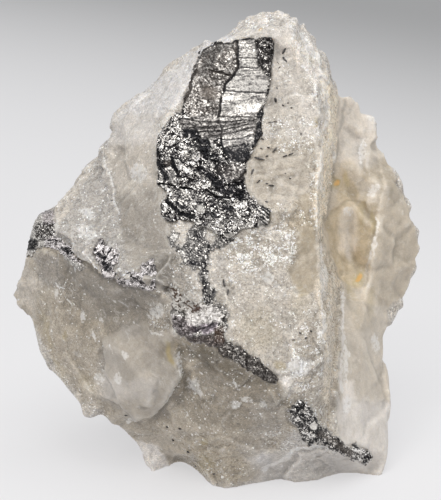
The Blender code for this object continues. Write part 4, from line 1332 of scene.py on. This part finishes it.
BLADE = [
    (199, 51), (208, 45), (219, 42), (232, 42), (236, 39), (247, 38), (255, 39), (259, 37), (271, 37),
    (275, 44), (275, 52), (273, 61), (271, 72), (271, 80), (270, 90), (268, 95), (265, 104), (263, 113),
    (262, 125), (262, 136), (258, 141), (255, 147), (253, 153), (249, 159), (246, 167), (245, 176),
    (246, 187), (250, 194), (256, 200), (260, 206), (271, 207), (271, 220), (267, 226), (256, 227),
    (252, 229), (243, 229), (234, 236), (226, 239), (212, 231), (203, 227), (192, 221), (181, 219),
    (174, 222), (164, 220), (160, 214), (160, 205), (166, 200), (167, 193), (161, 187), (157, 181),
    (157, 168), (155, 158), (157, 145), (158, 135), (164, 125), (170, 118), (180, 112), (183, 105),
    (183, 98), (186, 90), (188, 83), (193, 74), (192, 69), (196, 61),
]
PLATY_PART = [
    (186, 112), (183, 98), (188, 83), (193, 70), (197, 55), (210, 44), (238, 41), (238, 70), (225, 84),
    (221, 100), (219, 117), (205, 124), (190, 120),
]
CLEAVAGE = [
    (237, 41), (237, 54), (238, 66), (234, 75), (226, 83), (224, 92), (221, 98), (220, 110), (218, 116),
    (222, 127), (221, 136), (223, 147), (247, 152), (252, 144), (253, 135), (256, 119), (257, 113),
    (264, 104), (267, 93), (269, 80), (264, 73), (258, 66), (255, 58), (255, 39),
]
STRIATED_FOOT = [
    (178, 120), (219, 113), (257, 112), (254, 136), (222, 138), (203, 138), (196, 130), (180, 128),
]
PALE_FOOT = [(223, 134), (253, 131), (250, 145), (238, 144), (224, 150)]
DARK_FACET = [(223, 148), (238, 143), (251, 143), (248, 156), (242, 163), (232, 162), (225, 155)]
UPPER_PANEL = [(238, 40), (256, 40), (257, 60), (262, 70), (238, 74)]
BLACK_CORNER = [(255, 38), (272, 36), (276, 46), (273, 61), (271, 74), (265, 72), (258, 64), (256, 50)]
DARK_STRIP = [
    (257, 112), (263, 112), (263, 136), (258, 142), (254, 148), (252, 146), (255, 133), (257, 122),
]
SILVER_FOOT = [
    (170, 190), (200, 182), (246, 198), (262, 206), (270, 222), (240, 230), (205, 227), (172, 217),
]
CLEAVAGE_LINES = [
    ([(237, 58), (256, 58)], 0.7), ([(238, 68), (258, 68)], 0.7), ([(234, 75), (243, 75)], 0.8),
    ([(225, 91), (245, 92), (268, 93)], 1.0), ([(219, 117), (256, 117)], 0.8),
    ([(206, 123), (256, 120)], 0.8), ([(190, 128), (221, 127), (256, 121)], 1.0),
    ([(200, 132), (224, 130), (255, 123)], 0.8), ([(206, 136), (227, 134), (254, 127)], 0.8),
    ([(222, 140), (240, 139), (253, 134)], 0.6), ([(184, 119), (205, 122), (221, 121)], 0.7),
    ([(182, 124), (200, 127), (219, 126)], 0.7),
]
DARK_SEAMS = [
    ([(237, 42), (238, 66), (234, 75), (225, 84), (224, 91)], 1.4),
    ([(221, 98), (220, 112), (218, 117)], 1.2),
    ([(198, 54), (208, 46), (220, 43), (233, 42), (237, 39), (258, 38)], 1.4),
    ([(209, 70), (218, 72), (227, 75), (234, 76)], 1.0), ([(222, 128), (221, 140), (224, 150)], 1.0),
    ([(183, 104), (190, 90), (190, 82), (196, 70)], 1.2), ([(172, 158), (175, 167), (178, 176)], 1.5),
    ([(160, 183), (175, 186)], 0.8), ([(180, 187), (192, 189)], 0.9),
    ([(165, 196), (172, 206), (180, 213), (194, 217)], 2.0), ([(156, 163), (166, 166), (174, 162)], 1.4),
    ([(206, 190), (217, 197), (230, 198)], 1.1),
]
DARK_BANDS = [
    ([(186, 129), (196, 131), (202, 140), (208, 151), (216, 160), (222, 168)], 7, -0.15),
    ([(188, 129), (198, 133)], 4, -0.6),
    ([(201, 172), (211, 179), (221, 188), (232, 191), (241, 195)], 5, -0.5),
    ([(228, 188), (240, 181), (245, 175)], 3, -0.3), ([(157, 150), (160, 165), (166, 178)], 2.5, -0.1),
]
GREY_FLAKE = [(224, 164), (243, 163), (247, 176), (240, 182), (226, 178), (212, 170)]
LEFT_FACET = [(161, 168), (172, 165), (176, 176), (176, 184), (162, 182)]
LOW_FACET = [(170, 192), (192, 191), (206, 198), (200, 212), (186, 212), (174, 204)]
UPPER_GRAINS = [
    (160, 128), (172, 118), (186, 124), (192, 140), (200, 158), (190, 164), (170, 158), (158, 152),
]
RIBBED_BLOCK = [(257, 208), (271, 208), (271, 225), (258, 226)]
DARK_RIM = [(248, 158), (244, 168), (243, 178)]
BRIGHT_EDGE = [(209, 139), (214, 149), (221, 158)]

# Spots are x, y, half width, half height and lean in degrees
PALE_MIDDLE = (200, 178, 12, 5, 25)
WHITE_GRAIN = (184, 152, 5, 4, 0)
BROWN_GRAIN = (168, 163, 4, 3, 0)
BLACK_DIP = (211, 215, 8, 3, 15)
DARK_GRAINS = (226, 209, 9, 7, 0)
DULL_HOLLOW = (209, 92, 10, 8, 30)
CORNER_GLINT = (263, 44, 8, 3.5, 10)
QUARTZ_GRAIN = (201, 209, 4.5, 4, 0)
WRINKLES = {"lean": -12, "stretch": 2.4, "size": 0.36, "seed": 88.0}
WRINKLE_WIDTH = 0.2
WRINKLE_TONE = 0.45
LONG_STRIAE = {"lean": -3, "stretch": 18.0, "size": 0.2, "seed": 85.0}
SHORT_STRIAE = {"lean": -5, "stretch": 6.0, "size": 0.16, "seed": 86.0}
SHORT_SHARE = 0.6
STRIAE_START = 0.1
STRIAE_TONE = 0.26
SMOOTH_RELIEF = (0.1, 0.3)
PITS = {"lean": 0, "stretch": 1.6, "size": 0.14, "seed": 87.0}
PIT_EDGE = (0.18, 0.4)
PIT_TONE = 0.25
CLEAVAGE_LINE_WIDTH = 0.8
MIXED_FOOT = (214, 232)
MIXED_GRAINS = {"lean": 20, "stretch": 1.4, "size": 0.6, "seed": 89.0}
MIXED_EDGE = (0.0, 0.2)
MIXED_SHARE = 0.8
RIB_TURN = (1.2, -1.6)
RIB_TONE = 0.9
RIB_LIFT = 0.12


def blade_look(look):
    """The mass of grains first, then the platy part, the cleavage face, the corner and the cracks."""
    look.lay(1, tone=0.42, coarse=0.5, cleft=0.3)
    look.line(DARK_RIM, wide=3, tone=-0.2)
    look.area(SILVER_FOOT, soft=5, tone=0.52)
    look.area(UPPER_GRAINS, soft=4, tone=0.47)
    look.area(GREY_FLAKE, soft=3, tone=0.38, contrast=0.4, relief=0.5, brown=0.15)
    look.area(LEFT_FACET, soft=1.5, tone=0.62, contrast=0.4, relief=0.3)
    look.area(LOW_FACET, soft=3, tone=0.42, contrast=0.45, relief=0.4)
    for points, wide, tone in DARK_BANDS:
        look.line(points, wide, tone=tone, contrast=0.8, lift=-0.25)
    look.line(BRIGHT_EDGE, wide=1.0, tone=0.7, contrast=0.5)
    look.spot(*PALE_MIDDLE, tone=0.62)
    look.spot(*WHITE_GRAIN, tone=1.0, contrast=0.4)
    look.spot(*BROWN_GRAIN, tone=0.6, contrast=0.5, brown=0.4)
    look.spot(*BLACK_DIP, tone=0.0, contrast=0.6)
    look.spot(*DARK_GRAINS, tone=0.25, contrast=0.8)
    look.area(PLATY_PART, soft=2, tone=0.54, contrast=0.5, coarse=0.12, relief=0.45, cleft=0.1, brown=0.3,
              lift=-0.1)
    look.spot(*DULL_HOLLOW, tone=0.34, contrast=0.3, relief=0.15, brown=0.55)
    wrinkle = np.abs(drawn_out(look.pixels, **WRINKLES))
    on_plates = fields(look.pixels, [(PLATY_PART, 1, 1)])
    look.channels["tone"] -= on_plates * (1 - eased(wrinkle, 0.0, WRINKLE_WIDTH)) * WRINKLE_TONE
    look.area(CLEAVAGE, soft=1, tone=0.93, contrast=0.12, relief=0.03, cleft=0.0, lift=-0.3, brown=0.0)
    look.area(UPPER_PANEL, soft=2, tone=0.81, contrast=0.15)
    look.area(STRIATED_FOOT, soft=2, tone=0.66, contrast=0.22, relief=0.1, lift=-0.25, brown=0.1)
    look.area(PALE_FOOT, soft=1.5, tone=0.74, contrast=0.12, relief=0.08, lift=-0.3)
    look.area(DARK_FACET, soft=1.5, tone=0.2, contrast=0.25, relief=0.15, lift=-0.4)
    look.area(BLACK_CORNER, soft=1.5, tone=-0.05, contrast=0.95, relief=0.6, lift=0.1, brown=0.1)
    look.spot(*CORNER_GLINT, tone=0.6, contrast=1.1)
    look.area(DARK_STRIP, soft=1, tone=-0.05, contrast=0.45, relief=0.5)
    striae = drawn_out(look.pixels, **LONG_STRIAE) + SHORT_SHARE * drawn_out(look.pixels, **SHORT_STRIAE)
    smooth_face = 1 - eased(look.channels["relief"], *SMOOTH_RELIEF)
    look.channels["tone"] += smooth_face * np.minimum(striae - STRIAE_START, 0) * STRIAE_TONE
    pits = eased(drawn_out(look.pixels, **PITS), *PIT_EDGE)
    look.channels["tone"] -= smooth_face * pits * PIT_TONE
    for points, wide in CLEAVAGE_LINES:
        look.line(points, wide * CLEAVAGE_LINE_WIDTH, tone=0.2, lift=-0.4)
    for points, wide in DARK_SEAMS:
        look.line(points, wide, tone=-0.2, contrast=0.3, lift=-0.35)
    look.spot(*QUARTZ_GRAIN, quartz=1.0, relief=0.2, lift=0.15)
    mixed_foot = eased(drawn_out(look.pixels, **MIXED_GRAINS), *MIXED_EDGE)
    mixed_foot = eased(look.pixels[:, 1], *MIXED_FOOT) * mixed_foot
    look.lay(mixed_foot * MIXED_SHARE, quartz=1.0)
    ribs = 0.5 + 0.5 * np.sin(look.pixels @ RIB_TURN)
    block = fields(look.pixels, [(RIBBED_BLOCK, 1.5, 1)])
    look.lay(block, tone=0.4, contrast=0.5, relief=0.5)
    look.channels["tone"] += block * (ribs - 0.5) * RIB_TONE
    look.channels["lift"] += block * ribs * RIB_LIFT
    return look.channels


grow_crystals("wolframite_blade_crystals", "wolframite_blade", front, BLADE, blade_look,
              rise=0.6, lean=35, stretch=1.7, broken=0.5)


# Wolframite stringer
# Small black grains of wolframite with white quartz grains mixed in, which run from the foot of the blade
# down to the knot. They grew along a crack of the quartz, so quartz reaches in between them on both sides.
STRINGER = [
    (167, 236), (171, 229), (179, 232), (178, 241), (183, 246), (187, 238), (184, 229), (190, 223),
    (200, 220), (206, 225), (207, 236), (211, 242), (215, 236), (213, 229), (222, 225), (235, 229),
    (235, 240), (226, 247), (216, 249), (211, 254), (210, 262), (209, 280), (216, 290), (216, 306),
    (204, 306), (200, 290), (198, 270), (188, 268), (180, 262), (177, 252), (170, 246),
]
STRINGER_DARKS = [
    (198, 235, 5, 6, 0, -0.2), (227, 236, 8, 9, 0, 0.05), (200, 251, 3.5, 6, 0, -0.1),
    (193, 263, 9, 2.5, 8, -0.2), (205, 267, 5, 8, 0, 0.15), (203, 287, 5, 8, 0, -0.2),
    (214, 290, 2, 7, 0, -0.1), (208, 301, 6, 5, 0, 0.05), (209, 296, 4, 1.5, 0, -0.1),
    (184, 246, 3, 2, 0, 0.0), (190, 251, 2, 4, 30, 0.0), (209, 248, 2, 5, 0, 0.05),
]
STRINGER_LIGHTS = [
    (210, 234, 7, 4, 0, 0.9), (175, 237, 5, 4, 0, 0.9), (185, 260, 2, 2, 0, 1.0), (210, 277, 5, 5, 0, 1.0),
    (182, 253, 3, 3, 0, 0.8),
]
STRINGER_STREAKS = {"lean": 60, "stretch": 2.0, "size": 0.26, "seed": 81.0}
STREAK_EDGE = (-0.05, 0.2)


def stringer_look(look):
    """Black streaks, with dark and pale grains on them."""
    look.lay(1, tone=0.06, contrast=0.6, coarse=0.15, relief=0.7, quartz=0.22)
    look.lay(eased(drawn_out(look.pixels, **STRINGER_STREAKS), *STREAK_EDGE), quartz=0.1, tone=0.15)
    for x, y, wide, high, lean, tone in STRINGER_DARKS:
        look.spot(x, y, wide, high, lean, tone=tone, quartz=0.0, contrast=0.7)
    for x, y, wide, high, lean, tone in STRINGER_LIGHTS:
        look.spot(x, y, wide, high, lean, tone=tone, quartz=0.5, contrast=0.8)
    return look.channels


grow_crystals("wolframite_stringer_grains", "wolframite_stringer", front, STRINGER, stringer_look,
              rise=0.15, lean=60, stretch=1.5, broken=2.4, grain=0.55)


# Wolframite knot
# A bright bunch of coarse cleaved crystals on the lip, grown in a pocket of the quartz. They are silvery in
# the middle with white painted highlights on their lumps, violet below and painted darker there as shade,
# and mixed with rusty grains above on the left.
KNOT = [
    (168, 287), (176, 284), (182, 293), (196, 300), (206, 304), (216, 302), (226, 306), (229, 318),
    (227, 330), (226, 346), (214, 346), (202, 345), (190, 342), (178, 334), (171, 324), (169, 312),
    (172, 300),
]
# Silvery lumps whose tone is high enough to take a painted white sheen
SILVERY_SHEEN_LUMPS = [
    (186, 312), (198, 306), (208, 303), (220, 309), (223, 322), (206, 323), (192, 327), (185, 320),
]
# Painted shade: the knot's lower side, its foot and its hollow are darker and violet
SHADED_VIOLET_SIDE = [(172, 316), (187, 318), (194, 330), (192, 341), (180, 337), (172, 325)]
SHADED_VIOLET_FOOT = [(198, 324), (218, 322), (216, 331), (204, 335)]
RUSTY_TOP = [(168, 286), (184, 291), (202, 303), (198, 314), (184, 312), (170, 308)]
RUSTY_FOOT = [(214, 328), (223, 325), (226, 342), (215, 342)]
KNOT_SHADE = [
    (180, 334), (190, 338), (200, 336), (212, 334), (228, 340), (226, 350), (208, 348), (188, 345),
]
DARK_CRACK = [(192, 331), (203, 328), (213, 324)]
# Painted shade in a hollow, as an oval spot
SHADED_HOLLOW = (194, 329, 5, 3.5, 25)
RUSTY_TIP = (174, 288, 2.5, 4.5, 0)
RUSTY_GRAIN = (197, 309, 5, 2.5, -20)
RIGHT_NICK = (224, 319, 2, 4, 0)
RUSTY_GRAINS = {"lean": 35, "stretch": 1.4, "size": 0.24, "seed": 84.0}
RUSTY_EDGE = (-0.02, 0.1)


def knot_look(look):
    """Silvery grains; violet parts painted darker as shade, lumps with a painted white sheen, rusty ones,
    and the shaded foot over them.
    """
    look.lay(1, tone=0.56, contrast=0.85, coarse=0.7, relief=1.1, quartz=0.35, cleft=0.65, brown=0.14)
    # Painted shade on the lower side and the foot
    look.area(SHADED_VIOLET_SIDE, soft=2, tone=0.3, contrast=0.7, quartz=0.2, violet=0.5, brown=0.35)
    look.area(SHADED_VIOLET_FOOT, soft=2, tone=0.5, contrast=0.3, quartz=0.3, violet=1.0, cleft=0.3)
    # Painted white sheen on the lumps, and painted shade in the hollow
    look.area(SILVERY_SHEEN_LUMPS, soft=2, tone=1.14, contrast=0.5, quartz=0.45, relief=1.3, cleft=0.4, violet=0.1)
    look.spot(*SHADED_HOLLOW, tone=-0.3, contrast=0.4, quartz=0.0, cleft=0.0, violet=1.0)
    look.line(DARK_CRACK, wide=1.3, tone=-0.1, contrast=0.4, quartz=0.0, violet=1.0)
    look.area(RUSTY_TOP, soft=2.5, tone=0.6, contrast=0.6, quartz=0.85, cleft=0.2)
    rusty = fields(look.pixels, [(RUSTY_TOP, 2, 1)])
    rusty *= eased(drawn_out(look.pixels, **RUSTY_GRAINS), *RUSTY_EDGE)
    look.lay(rusty, rust=0.45, quartz=0.0, tone=-0.2, contrast=1.0)
    look.spot(*RUSTY_TIP, rust=0.4, quartz=0.0, tone=-0.2)
    look.area(KNOT_SHADE, soft=1.5, tone=-0.2, contrast=0.8, quartz=0.0, brown=0.5, violet=0.3, cleft=0.2)
    look.spot(*RUSTY_GRAIN, rust=0.4, quartz=0.0, tone=-0.1, violet=0.5)
    look.area(RUSTY_FOOT, soft=1.5, rust=0.35, quartz=0.0, tone=-0.1, contrast=1.2, cleft=0.3)
    look.spot(*RIGHT_NICK, tone=0.0, quartz=0.0)
    return look.channels


grow_crystals("wolframite_knot_crystals", "wolframite_knot", front, KNOT, knot_look,
              rise=0.7, lean=0, stretch=1.1, broken=1.6, grain=0.8)


# Wolframite ridge bar
# A bar of fine dark grains, grown in the quartz along the lip to the right of the knot. Two cracks cross
# it, and its lower side is darker.
RIDGE_BAR = [
    (218, 338), (227, 341), (236, 344), (248, 352), (262, 362), (273, 371), (278, 379), (276, 384),
    (268, 383), (256, 376), (244, 368), (233, 361), (224, 358), (218, 352),
]
BAR_UNDERSIDE = [(222, 352), (235, 362), (250, 373), (266, 383)]
BAR_CRACKS = [[(243, 346), (248, 354), (246, 366)], [(262, 364), (266, 372), (262, 380)]]
BAR_END = (224, 350, 5, 8, 0)


def ridge_bar_look(look):
    """Fine grains with a darker underside and end, and two cracks."""
    look.lay(1, tone=0.32, contrast=0.5, coarse=0.15, relief=0.8, cleft=0.15, brown=0.24)
    look.line(BAR_UNDERSIDE, wide=2.5, tone=0.2)
    look.spot(*BAR_END, tone=0.05, brown=0.3)
    for line in BAR_CRACKS:
        look.line(line, wide=1.0, tone=-0.2, lift=-0.2)
    return look.channels


grow_crystals("wolframite_ridge_bar_crystals", "wolframite_ridge_bar", front, RIDGE_BAR, ridge_bar_look,
              rise=0.4, lean=35, stretch=1.2, broken=1.0)


# Wolframite corner vein
# A cluster of black grains in the quartz at the lower right of the front, which draws out into a brownish
# bar with bright ribbed crystals at its end.
CORNER_VEIN = [
    (298, 397), (304, 402), (312, 406), (317, 414), (320, 424), (328, 430), (338, 436), (347, 444),
    (352, 446), (356, 441), (362, 447), (371, 451), (372, 460), (366, 465), (356, 463), (345, 458),
    (334, 452), (322, 445), (310, 446), (300, 440), (297, 430), (291, 424), (288, 412), (293, 405),
]
WHITE_FACE = (314, 426, 4, 4, 0)
SILVER_PATCH = (309, 436, 9, 6, 30)
BROWN_BAR = [(322, 434), (336, 443), (350, 453)]
BRIGHT_END = (362, 454, 9, 8, 30)


def corner_vein_look(look):
    """Black grains with a white face and a silvery patch, a brown bar and a bright end."""
    look.lay(1, tone=0.14, contrast=1.1, coarse=0.5, relief=0.9)
    look.spot(*WHITE_FACE, tone=1.0, contrast=0.2, quartz=0.5)
    look.spot(*SILVER_PATCH, tone=0.6)
    look.line(BROWN_BAR, wide=4, tone=0.12, brown=0.4)
    look.spot(*BRIGHT_END, tone=0.62, contrast=1.3)
    return look.channels


grow_crystals("wolframite_corner_vein_crystals", "wolframite_corner_vein", front, CORNER_VEIN,
              corner_vein_look, rise=0.45, lean=40, stretch=1.5, broken=1.5)


# Wolframite left vein
# Dark and silvery grains in a vein of the quartz that wraps round the left edge of the block. Its outline
# is drawn on the sheet that is turned to face that edge, and its colours on the front sheet.
LEFT_VEIN = [
    (50, 275), (53, 256), (63, 240), (76, 233), (88, 236), (96, 247), (101, 256), (109, 261), (119, 262),
    (131, 268), (147, 276), (162, 285), (154, 291), (139, 284), (125, 281), (117, 276), (104, 274),
    (93, 274), (84, 278), (76, 287), (61, 290),
]
GREY_LUMP = [(42, 208), (57, 208), (56, 224), (44, 225)]
BLACK_PATCH = [(34, 228), (42, 222), (55, 223), (57, 236), (50, 240), (38, 240)]
BLACK_EDGE = [(28, 237), (40, 240), (36, 250), (28, 251)]
SILVER_BAND = [
    (45, 238), (55, 236), (65, 240), (74, 248), (84, 256), (82, 264), (70, 259), (58, 251), (46, 247),
]
LIP_DARK = [(62, 247), (72, 248), (75, 254), (66, 254)]
SILVER_CRACK = [(49, 241), (55, 240), (61, 242)]


def left_vein_look(look):
    """Pale grains with a grey lump, black patches and a silvery band."""
    look.pixels = front.pixels(left_side.land(look.pixels))[0]
    look.lay(1, tone=0.75, contrast=1.1, coarse=0.2, relief=0.9, quartz=0.6, cleft=0.15)
    look.area(GREY_LUMP, soft=2, tone=0.6, contrast=0.8, quartz=0.4, brown=0.3, violet=0.4)
    look.area(BLACK_PATCH, soft=1.5, tone=0.36, contrast=1.5, quartz=0.0, brown=0.15)
    look.area(SILVER_BAND, soft=1.5, tone=1.1, contrast=1.6, coarse=0.6, quartz=0.25, violet=0.3, cleft=0.5)
    look.area(BLACK_EDGE, soft=1.5, tone=-0.1, contrast=0.7, quartz=0.0)
    look.area(LIP_DARK, soft=1.5, tone=0.2, contrast=1.2, quartz=0.0)
    look.line(SILVER_CRACK, wide=0.9, tone=-0.2, quartz=0.0)
    return look.channels


grow_crystals("wolframite_left_vein_crystals", "wolframite_left_vein", left_side, LEFT_VEIN,
              left_vein_look, rise=0.25, lean=20, stretch=1.3, broken=1.0, grain=0.6)


# Wolframite left cluster and centre seam
# Small bright crystals, cleaved in a fan, that stand out of the quartz above the lip, and a thin seam of
# silvery grains between them and the knot. Both grew in the same crack of the quartz.
LEFT_CLUSTER = [
    (97, 240), (102, 239), (105, 245), (110, 242), (118, 243), (119, 262), (113, 265), (116, 274),
    (112, 279), (103, 277), (101, 268), (97, 262), (92, 252), (94, 247),
]
CENTRE_SEAM = [
    (117, 280), (124, 274), (130, 271), (138, 271), (142, 265), (147, 259), (153, 258), (157, 265),
    (156, 275), (158, 288), (152, 292), (140, 289), (128, 286), (121, 285),
]
# The fan's tone is high enough to take a painted white sheen
SHEEN_FAN = [(104, 246), (110, 241), (119, 243), (120, 264), (111, 264), (105, 257)]
FAN_CLEFTS = [
    [(105, 259), (109, 252), (111, 249), (112, 243)], [(108, 261), (113, 259), (115, 255), (119, 255)],
    [(103, 262), (105, 256), (103, 250), (105, 243)],
]
FAN_SHADOW = [(96, 252), (101, 253), (106, 259), (101, 259), (97, 257)]
DARK_FOOT = [(101, 263), (106, 262), (112, 269), (108, 271), (103, 269)]
QUARTZ_FOOT = [(103, 271), (112, 272), (115, 278), (104, 278)]
LEFT_NICK = (95, 250, 1.5, 2, 0)
TOP_NICK = (102, 244, 1.3, 2, 0)
SEAM_TOP = [(118, 268), (140, 262), (150, 254), (160, 260), (160, 286), (146, 280), (120, 278)]
SEAM_CRACK = [(126, 273), (133, 277), (141, 283)]
SEAM_GAPS = {"lean": -30, "stretch": 1.6, "size": 0.35, "seed": 83.0}
SEAM_GAP_EDGE = (0.1, 0.2)
SEAM_GAP_SHARE = 0.7


def left_cluster_look(look):
    """Silvery grains with a painted white sheen on the fan, the clefts and the shadow beside it, and a
    darker foot.
    """
    look.lay(1, tone=0.87, contrast=0.9, coarse=0.7, relief=1.1, quartz=0.2, cleft=0.45, violet=0.3)
    # Painted white sheen on the fan
    look.area(SHEEN_FAN, soft=1, tone=1.2, contrast=0.7, quartz=0.2, cleft=0.5)
    for line in FAN_CLEFTS:
        look.line(line, wide=0.6, tone=0.0, quartz=0.0, lift=-0.15)
    look.area(FAN_SHADOW, soft=1, tone=-0.1, contrast=0.6, quartz=0.0)
    look.area(DARK_FOOT, soft=1.5, tone=0.2, contrast=1.3, quartz=0.0)
    look.spot(*LEFT_NICK, tone=-0.3, quartz=0.0)
    look.area(QUARTZ_FOOT, soft=1, tone=1.0, contrast=0.4, quartz=0.6)
    look.spot(*TOP_NICK, tone=-0.3, quartz=0.0)
    return look.channels


def centre_seam_look(look):
    """White and silvery grains with dark gaps and a crack, standing up at the seam's top."""
    look.lay(1, tone=1.0, contrast=1.2, coarse=0.5, relief=0.9, quartz=0.3, cleft=0.4, violet=0.3)
    gaps = eased(drawn_out(look.pixels, **SEAM_GAPS), *SEAM_GAP_EDGE)
    look.lay(gaps * SEAM_GAP_SHARE, tone=0.25, quartz=0.2, contrast=1.0)
    look.line(SEAM_CRACK, wide=0.8, tone=0.0, quartz=0.0)
    look.area(SEAM_TOP, soft=4, lift=1.1)
    return look.channels


grow_crystals("wolframite_left_cluster_crystals", "wolframite_left_cluster", front, LEFT_CLUSTER,
              left_cluster_look, rise=1.0, lean=-50, stretch=1.8, broken=0.2, grain=0.65)
grow_crystals("wolframite_centre_seam_grains", "wolframite_centre_seam", front, CENTRE_SEAM,
              centre_seam_look, rise=0.8, lean=-30, stretch=1.3, broken=1.6, grain=0.55)


# Wolframite flecks
# Thin black needles and grains of wolframite, grown singly in the quartz beside the blade and low on the
# left. Each is x, y, length, width and lean in degrees, in the front sheet's pixels, sunk in the stone.
FLECKS = [
    (284, 51, 8, 2.4, -62), (285, 60, 8, 2.6, 52), (275.5, 100, 5, 2.6, 80), (291.5, 108, 2.5, 2, 0),
    (283, 105.5, 3, 1.5, 40), (273.5, 122, 12, 0.9, -6), (259.5, 158.5, 11, 2.2, 14), (267, 156, 3, 1.6, 0),
    (274.5, 150, 8, 1.7, -50), (268.5, 147.5, 3, 1.5, 10), (285, 156, 5, 1.2, -20), (291, 154, 6, 1.4, -24),
    (261.5, 148.5, 3, 1.2, 30), (252.5, 171.5, 7, 1.9, -65), (258.5, 181.5, 5, 1.3, -42),
    (271.5, 185.5, 6, 1.6, 6), (267, 183.5, 3, 1.4, 0), (285.5, 173.5, 2, 1.6, 0), (290, 178.5, 2, 1.4, 0),
    (266.5, 202, 3.5, 1.5, 10), (290.8, 33, 2.2, 1.6, 0), (278, 63, 3, 1.0, 60), (279.5, 67.5, 3, 1.0, -40),
    (288, 103, 2, 1.5, 0), (262.5, 139, 3.5, 1.2, 20), (301, 134, 2, 1.2, 0), (277, 88, 2.4, 1.2, 70),
    (112, 200.7, 2, 1.6, 0), (126, 415, 5, 1.6, 5), (167, 427, 3, 1.8, 20), (173, 440, 3, 1.6, 40),
    (196, 466, 4, 2, 30), (202, 470, 5, 2.2, -20), (205, 476, 3, 1.6, 0), (180, 429, 4, 1.8, 15),
    (64, 337, 3, 2, 60), (188, 452, 3, 1.5, 30), (214, 474, 3, 1.5, 0), (60, 368, 3, 1.4, 60),
    (300, 333, 3, 1.6, 30), (306, 338, 3, 1.5, -20), (311, 331, 3, 1.5, 50), (294, 340, 3, 1.4, 0),
    (176, 279, 2.4, 6, 0), (172, 285, 2.4, 5, 20), (204, 281, 2, 7, 5), (224, 283, 2, 8, -10),
    (228, 292, 2, 6, 10),
]
FLECK_HEIGHT = 0.4
FLECK_RISE = 0.1 * MM
FLECK_SURFACE = {"Metallic": 0.8, "Roughness": 0.35}
BESIDE = (3, 0)
BELOW = (0, 3)
fleck_pixels = np.array([fleck[:2] for fleck in FLECKS])
fleck_spots = front.land(fleck_pixels, FLECK_RISE)
rightward = front.land(fleck_pixels + BESIDE) - front.land(fleck_pixels - BESIDE)
downward = front.land(fleck_pixels + BELOW) - front.land(fleck_pixels - BELOW)
fleck_turns, fleck_sizes = [], []
for fleck, right, down in zip(FLECKS, rightward, downward):
    length, wide, lean = fleck[2:]
    lean = math.radians(lean)
    along = (Vector(right) * math.cos(lean) + Vector(down) * math.sin(lean)).normalized()
    outward = Vector(down).cross(Vector(right)).normalized()
    across = outward.cross(along).normalized()
    turned_axes = Matrix((along, across, along.cross(across))).transposed()
    fleck_turns.append(list(turned_axes.to_euler()))
    fleck_sizes.append((length * PIXEL / MM, wide * PIXEL / MM, FLECK_HEIGHT))
point_mesh = bpy.data.meshes.new("fleck places")
point_mesh.from_pydata(fleck_spots.tolist(), [], [])
for label, values in (("turn", fleck_turns), ("size", fleck_sizes)):
    layer = point_mesh.attributes.new(label, "FLOAT_VECTOR", "POINT")
    layer.data.foreach_set("vector", np.array(values, np.float32).ravel())

needles, given, result = new_geometry_tree("needles at places", [("Material", "NodeSocketMaterial", None)])
needle_shape = place(needles, "GeometryNodeMeshIcoSphere", {"Radius": 0.5 * MM, "Subdivisions": 2})
placed = place(needles, "GeometryNodeInstanceOnPoints",
               {"Points": given.outputs["Geometry"], "Instance": needle_shape.outputs["Mesh"],
                "Rotation": named_value(needles, "turn", "FLOAT_VECTOR"),
                "Scale": named_value(needles, "size", "FLOAT_VECTOR")})
realized = place(needles, "GeometryNodeRealizeInstances", {0: placed.outputs[0]})
dressed = place(needles, "GeometryNodeSetMaterial",
                {"Geometry": realized.outputs[0], "Material": given.outputs["Material"]})
needles.links.new(dressed.outputs[0], result.inputs[0])
black_flecks, tree, shader = new_material("wolframite_flecks")
fine = grain_of(tree, size=0.25, slope=1.0)
tree.links.new(mixed(tree, fine.outputs["Number"], IRON_BLACK, STEEL_GREY), shader.inputs["Base Color"])
bumped(tree, shader, fine.outputs["Height"])
set_inputs(shader, FLECK_SURFACE)
flecks = grown("wolframite_flecks", point_mesh, needles, {"Material": black_flecks})
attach(flecks, "root")
